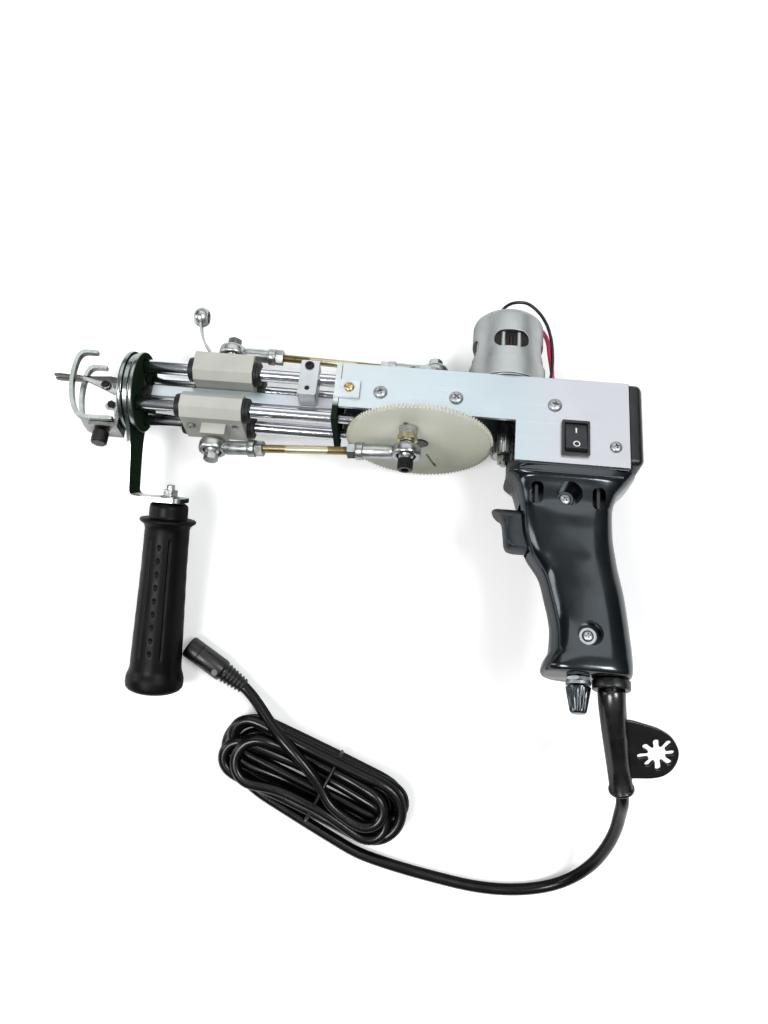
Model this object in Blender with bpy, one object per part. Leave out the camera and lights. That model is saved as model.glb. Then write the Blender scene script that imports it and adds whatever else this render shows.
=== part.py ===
"""Handheld tufting machine, lying on its side with its supply cord laid out.

All dimensions below are in millimetres in the machine's own frame:
x runs from the needle (negative) to the rear cover (positive), y points from
the pistol grip up to the motor, z points away from the resting surface.
x = 0 is the front face of the housing, y = z = 0 is the axis of the barrel.
The machine rests on the rim of its motor and on the end of its front handle,
so its frame is rolled about x by ROLL above the surface.
"""
import math

import bpy
import bmesh
from mathutils import Matrix, Vector

MM = 0.001

# ---- attitude on the resting surface -------------------------------------
ROLL = math.radians(19.2)       # roll of the machine about the barrel axis
AXIS_HEIGHT = 40.8              # height of the barrel axis over the surface
OFFSET_X = -9.0                 # origin under the middle of the machine
OFFSET_Y = 62.2

# ---- housing --------------------------------------------------------------
HALF_W = 20.0                   # half width of the channel
PLATE = 2.0                     # sheet thickness
TOP_Y = 18.0
SKIRT_Y = -10.3                 # lower edge of the front part
DEEP_Y = -34.7                  # lower edge of the rear part
NOTCH_X = 98.8
REAR_X = 161.2

# ---- barrel ---------------------------------------------------------------
ROD_R = 4.0
ROD_Y = 12.3
ROD_Z = 9.6
ROD_FRONT = -119.0
ROD_BACK = 9.0
BUSH_R = 6.6
BLOCK_IN = 4.6
BLOCK_OUT = 20.4
BLOCK_HALF = 17.0

# ---- drive ----------------------------------------------------------------
MODULE = 0.7
GEAR_TEETH = 118
PINION_TEETH = 20
GEAR_X = 46.7
MOTOR_X = GEAR_X + MODULE * (GEAR_TEETH + PINION_TEETH) / 2.0
GEAR_BOTTOM = -19.3
GEAR_TOP = -17.0
MOTOR_R = 21.0
MOTOR_TOP = 64.5
LOWER_BALL = (-70.9, -32.2, 0.0)
LOWER_PIN = (40.1, -34.4, 17.3)
UPPER_BALL = (-69.6, 31.7, 0.0)
UPPER_PIN = (52.5, 31.7, -5.5)

# ---- nose -----------------------------------------------------------------
NOSE_R = 23.5
HANDLE_SWING = math.radians(27.0)   # swing of the front handle to the surface

# ---- cord -----------------------------------------------------------------
CORD_D = 6.8
HANK_CENTRE = (-0.6, -222.5)
HANK_ANGLE = math.radians(-20.5)
HANK_HALF_L = 61.3
HANK_HALF_W = 21.0
HANK_HEIGHT = 21.0

GAP = 0.3


def clear_scene():
    for obj in list(bpy.data.objects):
        bpy.data.objects.remove(obj, do_unlink=True)


clear_scene()
SCENE = bpy.context.scene.collection


# --------------------------------------------------------------------------
# materials
# --------------------------------------------------------------------------
def material(name, colour, rough, metal=0.0):
    mat = bpy.data.materials.new(name)
    mat.use_nodes = True
    bsdf = mat.node_tree.nodes["Principled BSDF"]
    bsdf.inputs["Base Color"].default_value = (*colour, 1.0)
    bsdf.inputs["Roughness"].default_value = rough
    bsdf.inputs["Metallic"].default_value = metal
    return mat


COLOURS = {
    "aluminium": ((0.78, 0.82, 0.84), 0.35, 1.0),
    "chrome": ((0.80, 0.81, 0.83), 0.10, 1.0),
    "zinc": ((0.58, 0.60, 0.60), 0.30, 1.0),
    "brass": ((0.72, 0.52, 0.24), 0.30, 1.0),
    "black_steel": ((0.03, 0.03, 0.03), 0.35, 1.0),
    "dark_steel": ((0.16, 0.16, 0.16), 0.35, 1.0),
    "motor_steel": ((0.50, 0.51, 0.51), 0.45, 1.0),
    "ivory_nylon": ((0.62, 0.60, 0.48), 0.45, 0.0),
    "cream_nylon": ((0.66, 0.65, 0.58), 0.50, 0.0),
    "gloss_black": ((0.006, 0.006, 0.007), 0.15, 0.0),
    "black_plastic": ((0.012, 0.012, 0.012), 0.40, 0.0),
    "grey_plastic": ((0.05, 0.055, 0.06), 0.45, 0.0),
    "black_rubber": ((0.010, 0.010, 0.010), 0.55, 0.0),
    "cord_black": ((0.008, 0.008, 0.008), 0.30, 0.0),
    "wire_red": ((0.60, 0.03, 0.08), 0.35, 0.0),
}


def paint(obj, key):
    colour, rough, metal = COLOURS[key]
    obj.data.materials.append(material(obj.name + "_finish", colour, rough, metal))


# --------------------------------------------------------------------------
# frames
# --------------------------------------------------------------------------
ROOT = bpy.data.objects.new("machine_frame", None)
SCENE.objects.link(ROOT)
ROOT.rotation_euler = (-ROLL, 0.0, 0.0)
ROOT.location = (OFFSET_X * MM, OFFSET_Y * MM, AXIS_HEIGHT * MM)


def table_point(x, y, h):
    """A point given by its place on the resting surface and its height."""
    return Vector(((x + OFFSET_X) * MM, (y + OFFSET_Y) * MM, h * MM))


def machine_to_table(p):
    x, y, z = p
    c, s = math.cos(ROLL), math.sin(ROLL)
    return (x, y * c + z * s, -y * s + z * c + AXIS_HEIGHT)


def emit(name, verts, faces, finish, pivot=(0, 0, 0), smooth=30.0, cutter=False):
    """An object from a mesh in machine coordinates, with its origin at pivot."""
    mesh = bpy.data.meshes.new(name)
    mesh.from_pydata([((v[0] - pivot[0]) * MM, (v[1] - pivot[1]) * MM,
                       (v[2] - pivot[2]) * MM) for v in verts], [], faces)
    bm = bmesh.new()
    bm.from_mesh(mesh)
    bmesh.ops.remove_doubles(bm, verts=bm.verts, dist=1e-7)
    bmesh.ops.recalc_face_normals(bm, faces=bm.faces)
    bm.to_mesh(mesh)
    bm.free()
    obj = bpy.data.objects.new(name, mesh)
    SCENE.objects.link(obj)
    obj.parent = ROOT
    obj.location = (pivot[0] * MM, pivot[1] * MM, pivot[2] * MM)
    if cutter:
        obj.hide_render = True
        obj.display_type = 'WIRE'
    else:
        mesh.shade_smooth()
        mesh.set_sharp_from_angle(angle=math.radians(smooth))
        paint(obj, finish)
    return obj


def boolean(obj, other, operation='DIFFERENCE'):
    mod = obj.modifiers.new("cut_" + other.name, 'BOOLEAN')
    mod.operation = operation
    mod.solver = 'EXACT'
    mod.object = other
    return obj


# --------------------------------------------------------------------------
# shape makers, all returning vertices and faces in machine coordinates
# --------------------------------------------------------------------------
def basis(direction):
    d = Vector(direction).normalized()
    ref = Vector((0, 0, 1)) if abs(d.z) < 0.9 else Vector((1, 0, 0))
    u = ref.cross(d).normalized()
    v = d.cross(u).normalized()
    return d, u, v


def turned(origin, direction, profile, n=24, ring=False, phase=0.0):
    """Solid of revolution. profile is a list of (distance, radius).

    With ring=False the ends are closed with flat caps; with ring=True the
    profile is a closed loop and the result is a ring."""
    d, u, v = basis(direction)
    o = Vector(origin)
    verts, faces, rows = [], [], []
    for s, r in profile:
        if r < 1e-6:
            rows.append([len(verts)])
            verts.append(tuple(o + d * s))
        else:
            row = []
            for k in range(n):
                a = 2 * math.pi * k / n + phase
                row.append(len(verts))
                verts.append(tuple(o + d * s + u * (r * math.cos(a)) + v * (r * math.sin(a))))
            rows.append(row)
    pairs = list(zip(rows[:-1], rows[1:]))
    if ring:
        pairs.append((rows[-1], rows[0]))
    for a, b in pairs:
        for k in range(n):
            k2 = (k + 1) % n
            if len(a) == 1 and len(b) > 1:
                faces.append((a[0], b[k2], b[k]))
            elif len(b) == 1 and len(a) > 1:
                faces.append((a[k], a[k2], b[0]))
            elif len(a) > 1:
                faces.append((a[k], a[k2], b[k2], b[k]))
    if not ring:
        if len(rows[0]) > 1:
            faces.append(tuple(reversed(rows[0])))
        if len(rows[-1]) > 1:
            faces.append(tuple(rows[-1]))
    return verts, faces


def rod(a, b, r, n=20, chamfer=0.0, phase=0.0):
    a, b = Vector(a), Vector(b)
    length = (b - a).length
    prof = [(0, r), (length, r)] if chamfer <= 0 else [
        (0, r - chamfer), (chamfer, r), (length - chamfer, r), (length, r - chamfer)]
    return turned(a, b - a, prof, n, phase=phase)


def prism(outline, plane, lo, hi):
    """Extrude a 2D outline. plane 'xy' extrudes along z, 'yz' along x, 'xz' along y."""
    def place(p, t):
        if plane == 'xy':
            return (p[0], p[1], t)
        if plane == 'yz':
            return (t, p[0], p[1])
        return (p[0], t, p[1])
    n = len(outline)
    verts = [place(p, lo) for p in outline] + [place(p, hi) for p in outline]
    faces = [tuple(range(n - 1, -1, -1)), tuple(range(n, 2 * n))]
    for k in range(n):
        k2 = (k + 1) % n
        faces.append((k, k2, n + k2, n + k))
    return verts, faces


def box(x0, x1, y0, y1, z0, z1):
    return prism([(x0, y0), (x1, y0), (x1, y1), (x0, y1)], 'xy', z0, z1)


def rounded(x0, x1, y0, y1, r, n=3):
    pts = []
    for cx, cy, a0 in ((x1 - r, y0 + r, -90), (x1 - r, y1 - r, 0),
                       (x0 + r, y1 - r, 90), (x0 + r, y0 + r, 180)):
        for k in range(n + 1):
            a = math.radians(a0 + 90.0 * k / n)
            pts.append((cx + r * math.cos(a), cy + r * math.sin(a)))
    return pts


def circle(cx, cy, r, n=24, phase=0.0):
    return [(cx + r * math.cos(2 * math.pi * k / n + phase),
             cy + r * math.sin(2 * math.pi * k / n + phase)) for k in range(n)]


def toothed(cx, cz, teeth, module, phase, root_half=0.22, tip_half=0.09):
    """Outline of a spur gear, four points to a tooth."""
    rp = module * teeth / 2.0
    ra, rf = rp + module, rp - 1.45 * module
    pts = []
    step = 2 * math.pi / teeth
    for k in range(teeth):
        a = phase + k * step
        pts.append((rf, a - root_half * step))
        pts.append((ra, a - tip_half * step))
        pts.append((ra, a + tip_half * step))
        pts.append((rf, a + root_half * step))
    return [(cx + r * math.cos(a), cz + r * math.sin(a)) for r, a in pts]


def rotated(points, angle, cx=0.0, cy=0.0):
    c, s = math.cos(angle), math.sin(angle)
    return [(cx + x * c - y * s, cy + x * s + y * c) for x, y in points]


def slot_outline(length, width, n=5):
    """A stadium centred on the origin, long side along x."""
    r = width / 2.0
    h = length / 2.0 - r
    pts = []
    for k in range(n + 1):
        a = -math.pi / 2 + math.pi * k / n
        pts.append((h + r * math.cos(a), r * math.sin(a)))
    for k in range(n + 1):
        a = math.pi / 2 + math.pi * k / n
        pts.append((-h + r * math.cos(a), r * math.sin(a)))
    return pts


def smooth_curve(points, spacing):
    """Points every spacing along a smooth curve through the given points."""
    pts = [Vector(p) for p in points]
    pts = [pts[0] * 2 - pts[1]] + pts + [pts[-1] * 2 - pts[-2]]
    fine = []
    for i in range(1, len(pts) - 2):
        p0, p1, p2, p3 = pts[i - 1:i + 3]
        t0 = 0.0
        t1 = t0 + max((p1 - p0).length, 1e-9) ** 0.5
        t2 = t1 + max((p2 - p1).length, 1e-9) ** 0.5
        t3 = t2 + max((p3 - p2).length, 1e-9) ** 0.5
        for k in range(24):
            t = t1 + (t2 - t1) * k / 24.0
            a1 = p0 * ((t1 - t) / (t1 - t0)) + p1 * ((t - t0) / (t1 - t0))
            a2 = p1 * ((t2 - t) / (t2 - t1)) + p2 * ((t - t1) / (t2 - t1))
            a3 = p2 * ((t3 - t) / (t3 - t2)) + p3 * ((t - t2) / (t3 - t2))
            b1 = a1 * ((t2 - t) / (t2 - t0)) + a2 * ((t - t0) / (t2 - t0))
            b2 = a2 * ((t3 - t) / (t3 - t1)) + a3 * ((t - t1) / (t3 - t1))
            fine.append(b1 * ((t2 - t) / (t2 - t1)) + b2 * ((t - t1) / (t2 - t1)))
    fine.append(pts[-2])
    total = sum((b - a).length for a, b in zip(fine[:-1], fine[1:]))
    count = max(3, int(round(total / spacing)))
    out, want, run = [fine[0]], total / count, 0.0
    for a, b in zip(fine[:-1], fine[1:]):
        seg = (b - a).length
        while run + seg >= want * len(out) - 1e-9 and len(out) < count:
            f = (want * len(out) - run) / seg
            out.append(a + (b - a) * f)
        run += seg
    out.append(fine[-1])
    return out


def tube_curve(name, points, diameter, finish, resolution=3, parent=True):
    """A round cable through points: machine millimetres, or world metres."""
    data = bpy.data.curves.new(name, 'CURVE')
    data.dimensions = '3D'
    data.bevel_depth = diameter / 2.0 * MM
    data.bevel_resolution = resolution
    data.use_fill_caps = True
    spline = data.splines.new('POLY')
    spline.points.add(len(points) - 1)
    for sp, p in zip(spline.points, points):
        sp.co = (*(Vector(p) * MM if parent else Vector(p)), 1.0)
    obj = bpy.data.objects.new(name, data)
    SCENE.objects.link(obj)
    if parent:
        obj.parent = ROOT
    colour, rough, metal = COLOURS[finish]
    data.materials.append(material(name + "_finish", colour, rough, metal))
    return obj


# --------------------------------------------------------------------------
# housing
# --------------------------------------------------------------------------
channel = emit("housing_channel", *prism(
    [(0, SKIRT_Y), (NOTCH_X, SKIRT_Y), (NOTCH_X, DEEP_Y), (REAR_X, DEEP_Y),
     (REAR_X, TOP_Y), (0, TOP_Y)], 'xy', -HALF_W, HALF_W), "aluminium")
boolean(channel, emit("cut_channel_inside", *box(
    -5, REAR_X + 5, DEEP_Y - 5, TOP_Y - PLATE, -HALF_W + PLATE, HALF_W - PLATE), None, cutter=True))
boolean(channel, emit("cut_bearing_hole", *turned(
    (GEAR_X, 10, 0), (0, 1, 0), [(0, 8.0), (15, 8.0)], 20), None, cutter=True))
boolean(channel, emit("cut_motor_hole", *turned(
    (MOTOR_X, 10, 0), (0, 1, 0), [(0, 9.6), (15, 9.6)], 20), None, cutter=True))
SWITCH_X, SWITCH_Y = 131.5, -19.6
boolean(channel, emit("cut_switch_window", *box(
    SWITCH_X - 6.6, SWITCH_X + 6.6, SWITCH_Y - 9.6, SWITCH_Y + 9.6, 12, 25), None, cutter=True))
boolean(channel, emit("cut_wire_hole", *turned(
    (122.6, 10, -1.5), (0, 1, 0), [(0, 3.6), (15, 3.6)], 14), None, cutter=True))

front = emit("front_plate", *prism(
    [(-3.4, -18.6), (-GAP, -18.6), (-GAP, 18.0), (-3.4, 18.0)], 'xy', -HALF_W, HALF_W), "aluminium")
boolean(front, emit("join_front_tab", *prism(
    [(-3.0, -5.1), (11.2, -5.1), (11.2, 6.0), (-3.0, 6.0)], 'xy', HALF_W + GAP, HALF_W + 1.9),
    None, cutter=True), 'UNION')
boolean(front, emit("join_front_tab_root", *prism(
    [(-3.2, -5.1), (-0.8, -5.1), (-0.8, 6.0), (-3.2, 6.0)], 'xy', HALF_W - 1.5, HALF_W + 1.9),
    None, cutter=True), 'UNION')

# The cover is a shallow rounded tray with its open side to the channel.
outer = rounded(-32.2, 18.2, -20.4, 20.4, 3.0, 3)
verts, faces = [], []
ring_a = [(REAR_X + GAP, y, z) for y, z in outer]
ring_b = [(REAR_X + 5.5, y, z) for y, z in outer]
ring_c = [(REAR_X + 7.6, y * 0.94 - 0.5, z * 0.90) for y, z in outer]
inner = rounded(-29.9, 15.9, -18.1, 18.1, 2.0, 3)
ring_d = [(REAR_X + GAP, y, z) for y, z in inner]
ring_e = [(REAR_X + 5.2, y, z) for y, z in inner]
n = len(outer)
for ring in (ring_a, ring_b, ring_c, ring_d, ring_e):
    verts.extend(ring)
for a, b in ((0, 1), (1, 2), (3, 0), (4, 3)):
    for k in range(n):
        k2 = (k + 1) % n
        faces.append((a * n + k, a * n + k2, b * n + k2, b * n + k))
faces.append(tuple(range(2 * n, 3 * n)))
faces.append(tuple(range(4 * n, 5 * n)))
emit("rear_cover", verts, faces, "black_plastic")

# bearing block and spacer between the side plates
block = emit("bearing_block", *box(17, 76, -9.6, 15.6, -17.7, 17.7), "aluminium")
boolean(block, emit("cut_block_bore", *turned(
    (GEAR_X, -15, 0), (0, 1, 0), [(0, 11.2), (13, 11.2), (13, 7.0), (24, 7.0), (24, 11.2), (35, 11.2)], 24),
    None, cutter=True))
for label, y in (("lower_bearing", -9.4), ("upper_bearing", 9.3)):
    emit(label, *turned((GEAR_X, y, 0), (0, 1, 0),
                        [(0, 5.3), (0, 10.9), (6.0, 10.9), (6.0, 5.3)], 24, ring=True), "dark_steel")

# --------------------------------------------------------------------------
# motor
# --------------------------------------------------------------------------
can = emit("motor_can", *turned((MOTOR_X, 0, 0), (0, 1, 0), [
    (14.6, 8.8), (18.3, 8.8), (18.3, MOTOR_R - 1.0), (19.3, MOTOR_R),
    (MOTOR_TOP - 4.0, MOTOR_R), (MOTOR_TOP - 1.2, MOTOR_R - 0.9), (MOTOR_TOP, MOTOR_R - 2.8),
    (MOTOR_TOP, 8.0), (MOTOR_TOP + 2.2, 7.2)], 36), "motor_steel")
for label, side in (("near", 1), ("far", -1)):
    boolean(can, emit("cut_vent_" + label, *prism(
        rounded(MOTOR_X - 10.0, MOTOR_X + 10.0, 37.5, 48.5, 5.0, 4), 'xy',
        17.2 * side if side > 0 else -30, 30 if side > 0 else -17.2), None, cutter=True))
emit("motor_flux_ring", *turned((MOTOR_X, 0, 0), (0, 1, 0), [
    (18.7, MOTOR_R + GAP), (18.7, MOTOR_R + 1.5), (31.4, MOTOR_R + 1.5), (31.4, MOTOR_R + GAP)],
    36, ring=True), "motor_steel")

black_wire = smooth_curve([(MOTOR_X - 6.0, 67.4, 7.0), (MOTOR_X - 4.0, 73.0, 7.0), (MOTOR_X + 1.5, 78.6, 5.5),
                           (MOTOR_X + 10.0, 80.0, 4.5), (MOTOR_X + 17.3, 75.6, 3.0), (MOTOR_X + 22.8, 68.0, 1.5),
                           (MOTOR_X + 25.9, 58.0, 0.5), (MOTOR_X + 26.9, 46.0, 0.0), (MOTOR_X + 27.0, 33.0, 0.0),
                           (MOTOR_X + 26.9, 22.0, 0.0), (MOTOR_X + 26.8, 12.0, 0.0)], 4.2)
tube_curve("motor_wire_black", black_wire, 2.0, "cord_black", 1)
red_wire = smooth_curve([(MOTOR_X + 6.0, 67.4, -6.0), (MOTOR_X + 9.0, 71.0, -6.5), (MOTOR_X + 14.5, 71.8, -6.0),
                         (MOTOR_X + 20.5, 67.5, -4.8), (MOTOR_X + 24.4, 59.5, -4.0), (MOTOR_X + 26.2, 48.0, -3.4),
                         (MOTOR_X + 27.2, 34.0, -3.0), (MOTOR_X + 27.3, 22.0, -3.0), (MOTOR_X + 27.2, 12.0, -3.0)], 4.2)
tube_curve("motor_wire_red", red_wire, 2.0, "wire_red", 1)

# --------------------------------------------------------------------------
# drive train
# --------------------------------------------------------------------------
GEAR_AXIS = (GEAR_X, 0, 0)
PIN_ANGLE = math.atan2(LOWER_PIN[2], LOWER_PIN[0] - GEAR_X)
gear = emit("drive_gear", *prism(toothed(GEAR_X, 0.0, GEAR_TEETH, MODULE, math.pi / GEAR_TEETH),
                                 'xz', GEAR_BOTTOM, GEAR_TOP), "ivory_nylon", pivot=GEAR_AXIS)
boolean(gear, emit("join_gear_hub", *turned(
    (GEAR_X, GEAR_TOP - 1.0, 0), (0, 1, 0), [(0, 12.0), (6.5, 12.0), (7.2, 11.3)], 24),
    None, cutter=True), 'UNION')
boolean(gear, emit("cut_gear_bore", *turned(
    (GEAR_X, -30, 0), (0, 1, 0), [(0, 5.3), (30, 5.3)], 20), None, cutter=True))
near_slot = rotated([(x + 20.5, y) for x, y in slot_outline(9.0, 3.6, 4)], PIN_ANGLE, GEAR_X, 0)
far_slot = rotated([(x + 22.0, y) for x, y in slot_outline(17.0, 2.0, 3)], PIN_ANGLE + math.pi, GEAR_X, 0)
boolean(gear, emit("cut_gear_near_slot", *prism(near_slot, 'xz', -30, -10), None, cutter=True))
boolean(gear, emit("cut_gear_far_slot", *prism(far_slot, 'xz', -30, -10), None, cutter=True))
emit("drive_shaft", *turned((GEAR_X, 0, 0), (0, 1, 0), [
    (-19.8, 4.5), (-19.3, 5.0), (24.0, 5.0), (24.5, 4.5)], 20), "zinc", pivot=GEAR_AXIS)
crank = emit("upper_crank", *turned((GEAR_X, 0, 0), (0, 1, 0), [
    (19.2, 13.2), (19.2, 14.0), (24.4, 14.0), (25.0, 13.4)], 28), "zinc", pivot=GEAR_AXIS)
boolean(crank, emit("cut_crank_bore", *turned(
    (GEAR_X, 10, 0), (0, 1, 0), [(0, 5.3), (30, 5.3)], 20), None, cutter=True))

pinion_phase = math.pi      # a tooth of the pinion in a space of the gear
pinion = emit("motor_pinion", *prism(
    toothed(MOTOR_X, 0.0, PINION_TEETH, MODULE, pinion_phase), 'xz', -23.6, -12.0),
    "dark_steel", pivot=(MOTOR_X, 0, 0))
boolean(pinion, emit("join_pinion_hub", *turned(
    (MOTOR_X, -13.0, 0), (0, 1, 0), [(0, 5.0), (10.0, 5.0), (10.6, 4.4)], 20), None, cutter=True), 'UNION')
# the pinion is pressed on the motor's shaft
boolean(pinion, emit("join_motor_shaft", *turned(
    (MOTOR_X, -29.5, 0), (0, 1, 0), [(0, 2.0), (0.5, 2.5), (43.6, 2.5)], 14), None, cutter=True), 'UNION')


# --------------------------------------------------------------------------
# connecting rods
# --------------------------------------------------------------------------
def connecting_rod(prefix, ball, pin, pivot, reach_front, reach_back):
    """Two ball-joint rod ends, the threaded rod between them."""
    a, b = Vector(ball), Vector(pin)
    d = (b - a).normalized()
    length = (b - a).length
    for label, origin, direction, reach in (("front", a, d, reach_front), ("rear", b, -d, reach_back)):
        eye = emit("%s_rod_end_%s" % (prefix, label), *turned(
            origin, (0, 1, 0), [(-3.0, 7.2), (-2.2, 8.0), (2.2, 8.0), (3.0, 7.2)], 24), "zinc", pivot=pivot)
        o = origin + direction * 6.0
        boolean(eye, emit("join_%s_%s_shank" % (prefix, label), *turned(
            o, direction, [(0, 2.6), (2.5, 4.0), (reach - 10.5, 4.0), (reach - 10.1, 5.0),
                           (reach - 6.4, 5.0), (reach - 6.0, 4.7)], 16), None, cutter=True), 'UNION')
        boolean(eye, emit("cut_%s_%s_eye" % (prefix, label), *turned(
            origin, (0, 1, 0), [(-9, 5.4), (9, 5.4)], 20), None, cutter=True))
    emit("%s_rod" % prefix, *turned(a, d, [
        (reach_front + 0.3, 2.4), (length - reach_back - 0.3, 2.4)], 14), "brass", pivot=pivot)


connecting_rod("lower", LOWER_BALL, LOWER_PIN, LOWER_BALL, 26.0, 28.0)
connecting_rod("upper", UPPER_BALL, UPPER_PIN, UPPER_BALL, 26.0, 28.0)


# the crank pin of the lower rod stands on a six-sided spacer
SPACER_END = -28.6
spacer_r = 8.6 / math.sqrt(3.0)
emit("crank_spacer", *turned((LOWER_PIN[0], 0, LOWER_PIN[2]), (0, 1, 0), [
    (SPACER_END, spacer_r - 0.5), (SPACER_END + 0.5, spacer_r), (GEAR_BOTTOM - 0.4, spacer_r)], 6),
    "zinc", pivot=GEAR_AXIS, smooth=20)


def ball_bolt(name, origin, up, seat, flats, head, cap_round, finish, pivot):
    """A bolt through a rod end: seat spacer, ball and head, along +-y.

    up is the side of the head, seat how far the spacer reaches the other way."""
    s = 1 if up > 0 else -1
    profile = [(-seat, flats * 0.5), (-4.6, flats * 0.5), (-4.0, 3.0)]
    for k in range(7):
        a = math.radians(-52 + 104.0 * k / 6)
        profile.append((5.0 * math.sin(a), 5.0 * math.cos(a)))
    profile += [(4.4, 3.0), (4.6, cap_round), (4.6 + head, cap_round)]
    return emit(name, *turned(origin, (0, s, 0), profile, 16), finish, pivot=pivot)


ball_bolt("lower_crank_bolt", LOWER_PIN, -1, 5.5, 8.0, 6.2, 4.3, "black_steel", LOWER_BALL)
ball_bolt("upper_crank_bolt", UPPER_PIN, 1, 6.3, 9.0, 3.6, 4.0, "zinc", UPPER_BALL)
ball_bolt("lower_block_bolt", LOWER_BALL, -1, 5.0, 8.0, 3.8, 3.9, "zinc", LOWER_BALL)
ball_bolt("upper_block_bolt", UPPER_BALL, 1, 8.6, 8.0, 4.2, 4.3, "zinc", UPPER_BALL)


# --------------------------------------------------------------------------
# carriages
# --------------------------------------------------------------------------
def carriage(name, x0, x1, sign, pivot):
    outline = [(4.6, -13.5), (4.6, 13.5), (9.0, BLOCK_HALF), (BLOCK_OUT - 4.5, BLOCK_HALF),
               (BLOCK_OUT, 12.0), (BLOCK_OUT, -12.0), (BLOCK_OUT - 4.5, -BLOCK_HALF), (9.0, -BLOCK_HALF)]
    if sign > 0:
        outline = [(4.6, -12.0), (4.6, 12.0), (8.5, BLOCK_HALF), (BLOCK_OUT, BLOCK_HALF),
                   (BLOCK_OUT, -BLOCK_HALF), (8.5, -BLOCK_HALF)]
    pts = [(sign * y, z) for y, z in outline]
    body = emit(name, *prism(pts, 'yz', x0, x1), "cream_nylon", pivot=pivot)
    for label, z in (("near", ROD_Z), ("far", -ROD_Z)):
        boolean(body, emit("cut_%s_%s" % (name, label), *turned(
            (x0 - 5, sign * ROD_Y, z), (1, 0, 0), [(0, BUSH_R + GAP), (x1 - x0 + 10, BUSH_R + GAP)], 20),
            None, cutter=True))
        emit("%s_bushing_%s" % (name.split("_")[0], label), *turned(
            (0, sign * ROD_Y, z), (1, 0, 0), [
                (x0 - 3.4, ROD_R + 0.3), (x0 - 3.4, 6.8), (x0 - 0.3, 7.3), (x0 - 0.3, BUSH_R),
                (x1 + 0.3, BUSH_R), (x1 + 0.3, 7.3), (x1 + 3.8, 6.8), (x1 + 3.8, ROD_R + 0.3)],
            20, ring=True), "black_rubber", pivot=pivot)
    return body


lower_block = carriage("lower_block", -90.0, -54.5, -1, LOWER_BALL)
boolean(lower_block, emit("join_lower_boss", *box(-78.0, -64.0, -26.9, -19.0, -7.0, 7.0), None, cutter=True), 'UNION')
upper_block = carriage("upper_block", -86.5, -52.0, 1, UPPER_BALL)

# yarn guide: strip under the upper ball bolt, bent forward and up to an eye
stem = [(-63.5, 21.4), (-75.0, 21.4), (-79.0, 25.0), (-84.5, 31.5), (-88.6, 37.0), (-90.3, 43.0), (-92.6, 56.0)]
left, right = [], []
for i, p in enumerate(stem):
    a = Vector(stem[max(i - 1, 0)])
    b = Vector(stem[min(i + 1, len(stem) - 1)])
    t = (b - a).normalized()
    nrm = Vector((-t.y, t.x)) * 0.65
    left.append((p[0] + nrm.x, p[1] + nrm.y))
    right.append((p[0] - nrm.x, p[1] - nrm.y))
guide = emit("yarn_guide", *prism(left + right[::-1], 'xy', -3.0, 3.0), "chrome", pivot=UPPER_BALL)
boolean(guide, emit("join_guide_eye", *turned((-92.6, 55.8, 0), (1, 0, 0), [
    (-4.2, 4.1), (-3.8, 4.6), (-2.2, 5.7), (0.0, 6.2), (2.2, 5.6), (3.9, 4.3), (4.1, 4.0)], 20), None, cutter=True), 'UNION')
boolean(guide, emit("cut_guide_eye", *turned(
    (-100, 55.8, 0), (1, 0, 0), [(0, 3.3), (16, 3.3)], 16), None, cutter=True))
boolean(guide, emit("cut_guide_bolt", *turned(
    (UPPER_BALL[0], 10, 0), (0, 1, 0), [(0, 5.2), (30, 5.2)], 16), None, cutter=True))
boolean(guide, emit("cut_guide_tail", *box(-66.2, -60, 15, 30, -8, 8), None, cutter=True))

# --------------------------------------------------------------------------
# guide rods, centre bar, clamp
# --------------------------------------------------------------------------
for vert, y in (("upper", ROD_Y), ("lower", -ROD_Y)):
    for label, z in (("near", ROD_Z), ("far", -ROD_Z)):
        emit("guide_rod_%s_%s" % (vert, label), *turned((0, y, z), (1, 0, 0), [
            (ROD_FRONT, ROD_R - 0.5), (ROD_FRONT + 0.5, ROD_R), (-0.6, ROD_R), (-0.6, 3.0),
            (ROD_BACK - 0.5, 3.0), (ROD_BACK, 2.5)], 20), "chrome")
        boolean(front, emit("cut_front_%s_%s" % (vert, label), *turned(
            (-10, y, z), (1, 0, 0), [(0, ROD_R + GAP), (20, ROD_R + GAP)], 20), None, cutter=True))

bar = emit("center_bar", *box(-111.7, -4.0, -3.2, 3.8, 0.5, 3.5), "aluminium")
clamp = emit("clamp_block", *prism(rounded(-24.7, -14.0, -2.4, 20.3, 0.8, 1), 'xy', 4.0, 16.5), "aluminium")
boolean(clamp, emit("cut_clamp_bore", *turned(
    (-30, ROD_Y, ROD_Z), (1, 0, 0), [(0, ROD_R + GAP), (20, ROD_R + GAP)], 20), None, cutter=True))

# --------------------------------------------------------------------------
# nose: two round plates with the handle bracket between them
# --------------------------------------------------------------------------
window = [(-8.0, -5.5), (-8.0, 5.5), (-6.5, 7.0), (5.5, 7.0), (7.0, 5.6), (7.6, 4.6), (11.0, 4.6),
          (11.0, -4.6), (7.6, -4.6), (7.0, -5.6), (5.5, -7.0), (-6.5, -7.0)]
nose_front = emit("nose_plate_front", *turned((0, 0, 0), (1, 0, 0), [
    (-125.6, NOSE_R - 0.8), (-124.8, NOSE_R), (-122.9, NOSE_R)], 40), "chrome")
nose_rear = emit("nose_plate_rear", *turned((0, 0, 0), (1, 0, 0), [
    (-119.3, NOSE_R), (-117.4, NOSE_R), (-116.6, NOSE_R - 0.8)], 40), "chrome")
boolean(nose_front, emit("cut_window_front", *prism(window, 'yz', -130, -121), None, cutter=True))
boolean(nose_rear, emit("cut_window_rear", *prism(window, 'yz', -121, -110), None, cutter=True))
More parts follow.
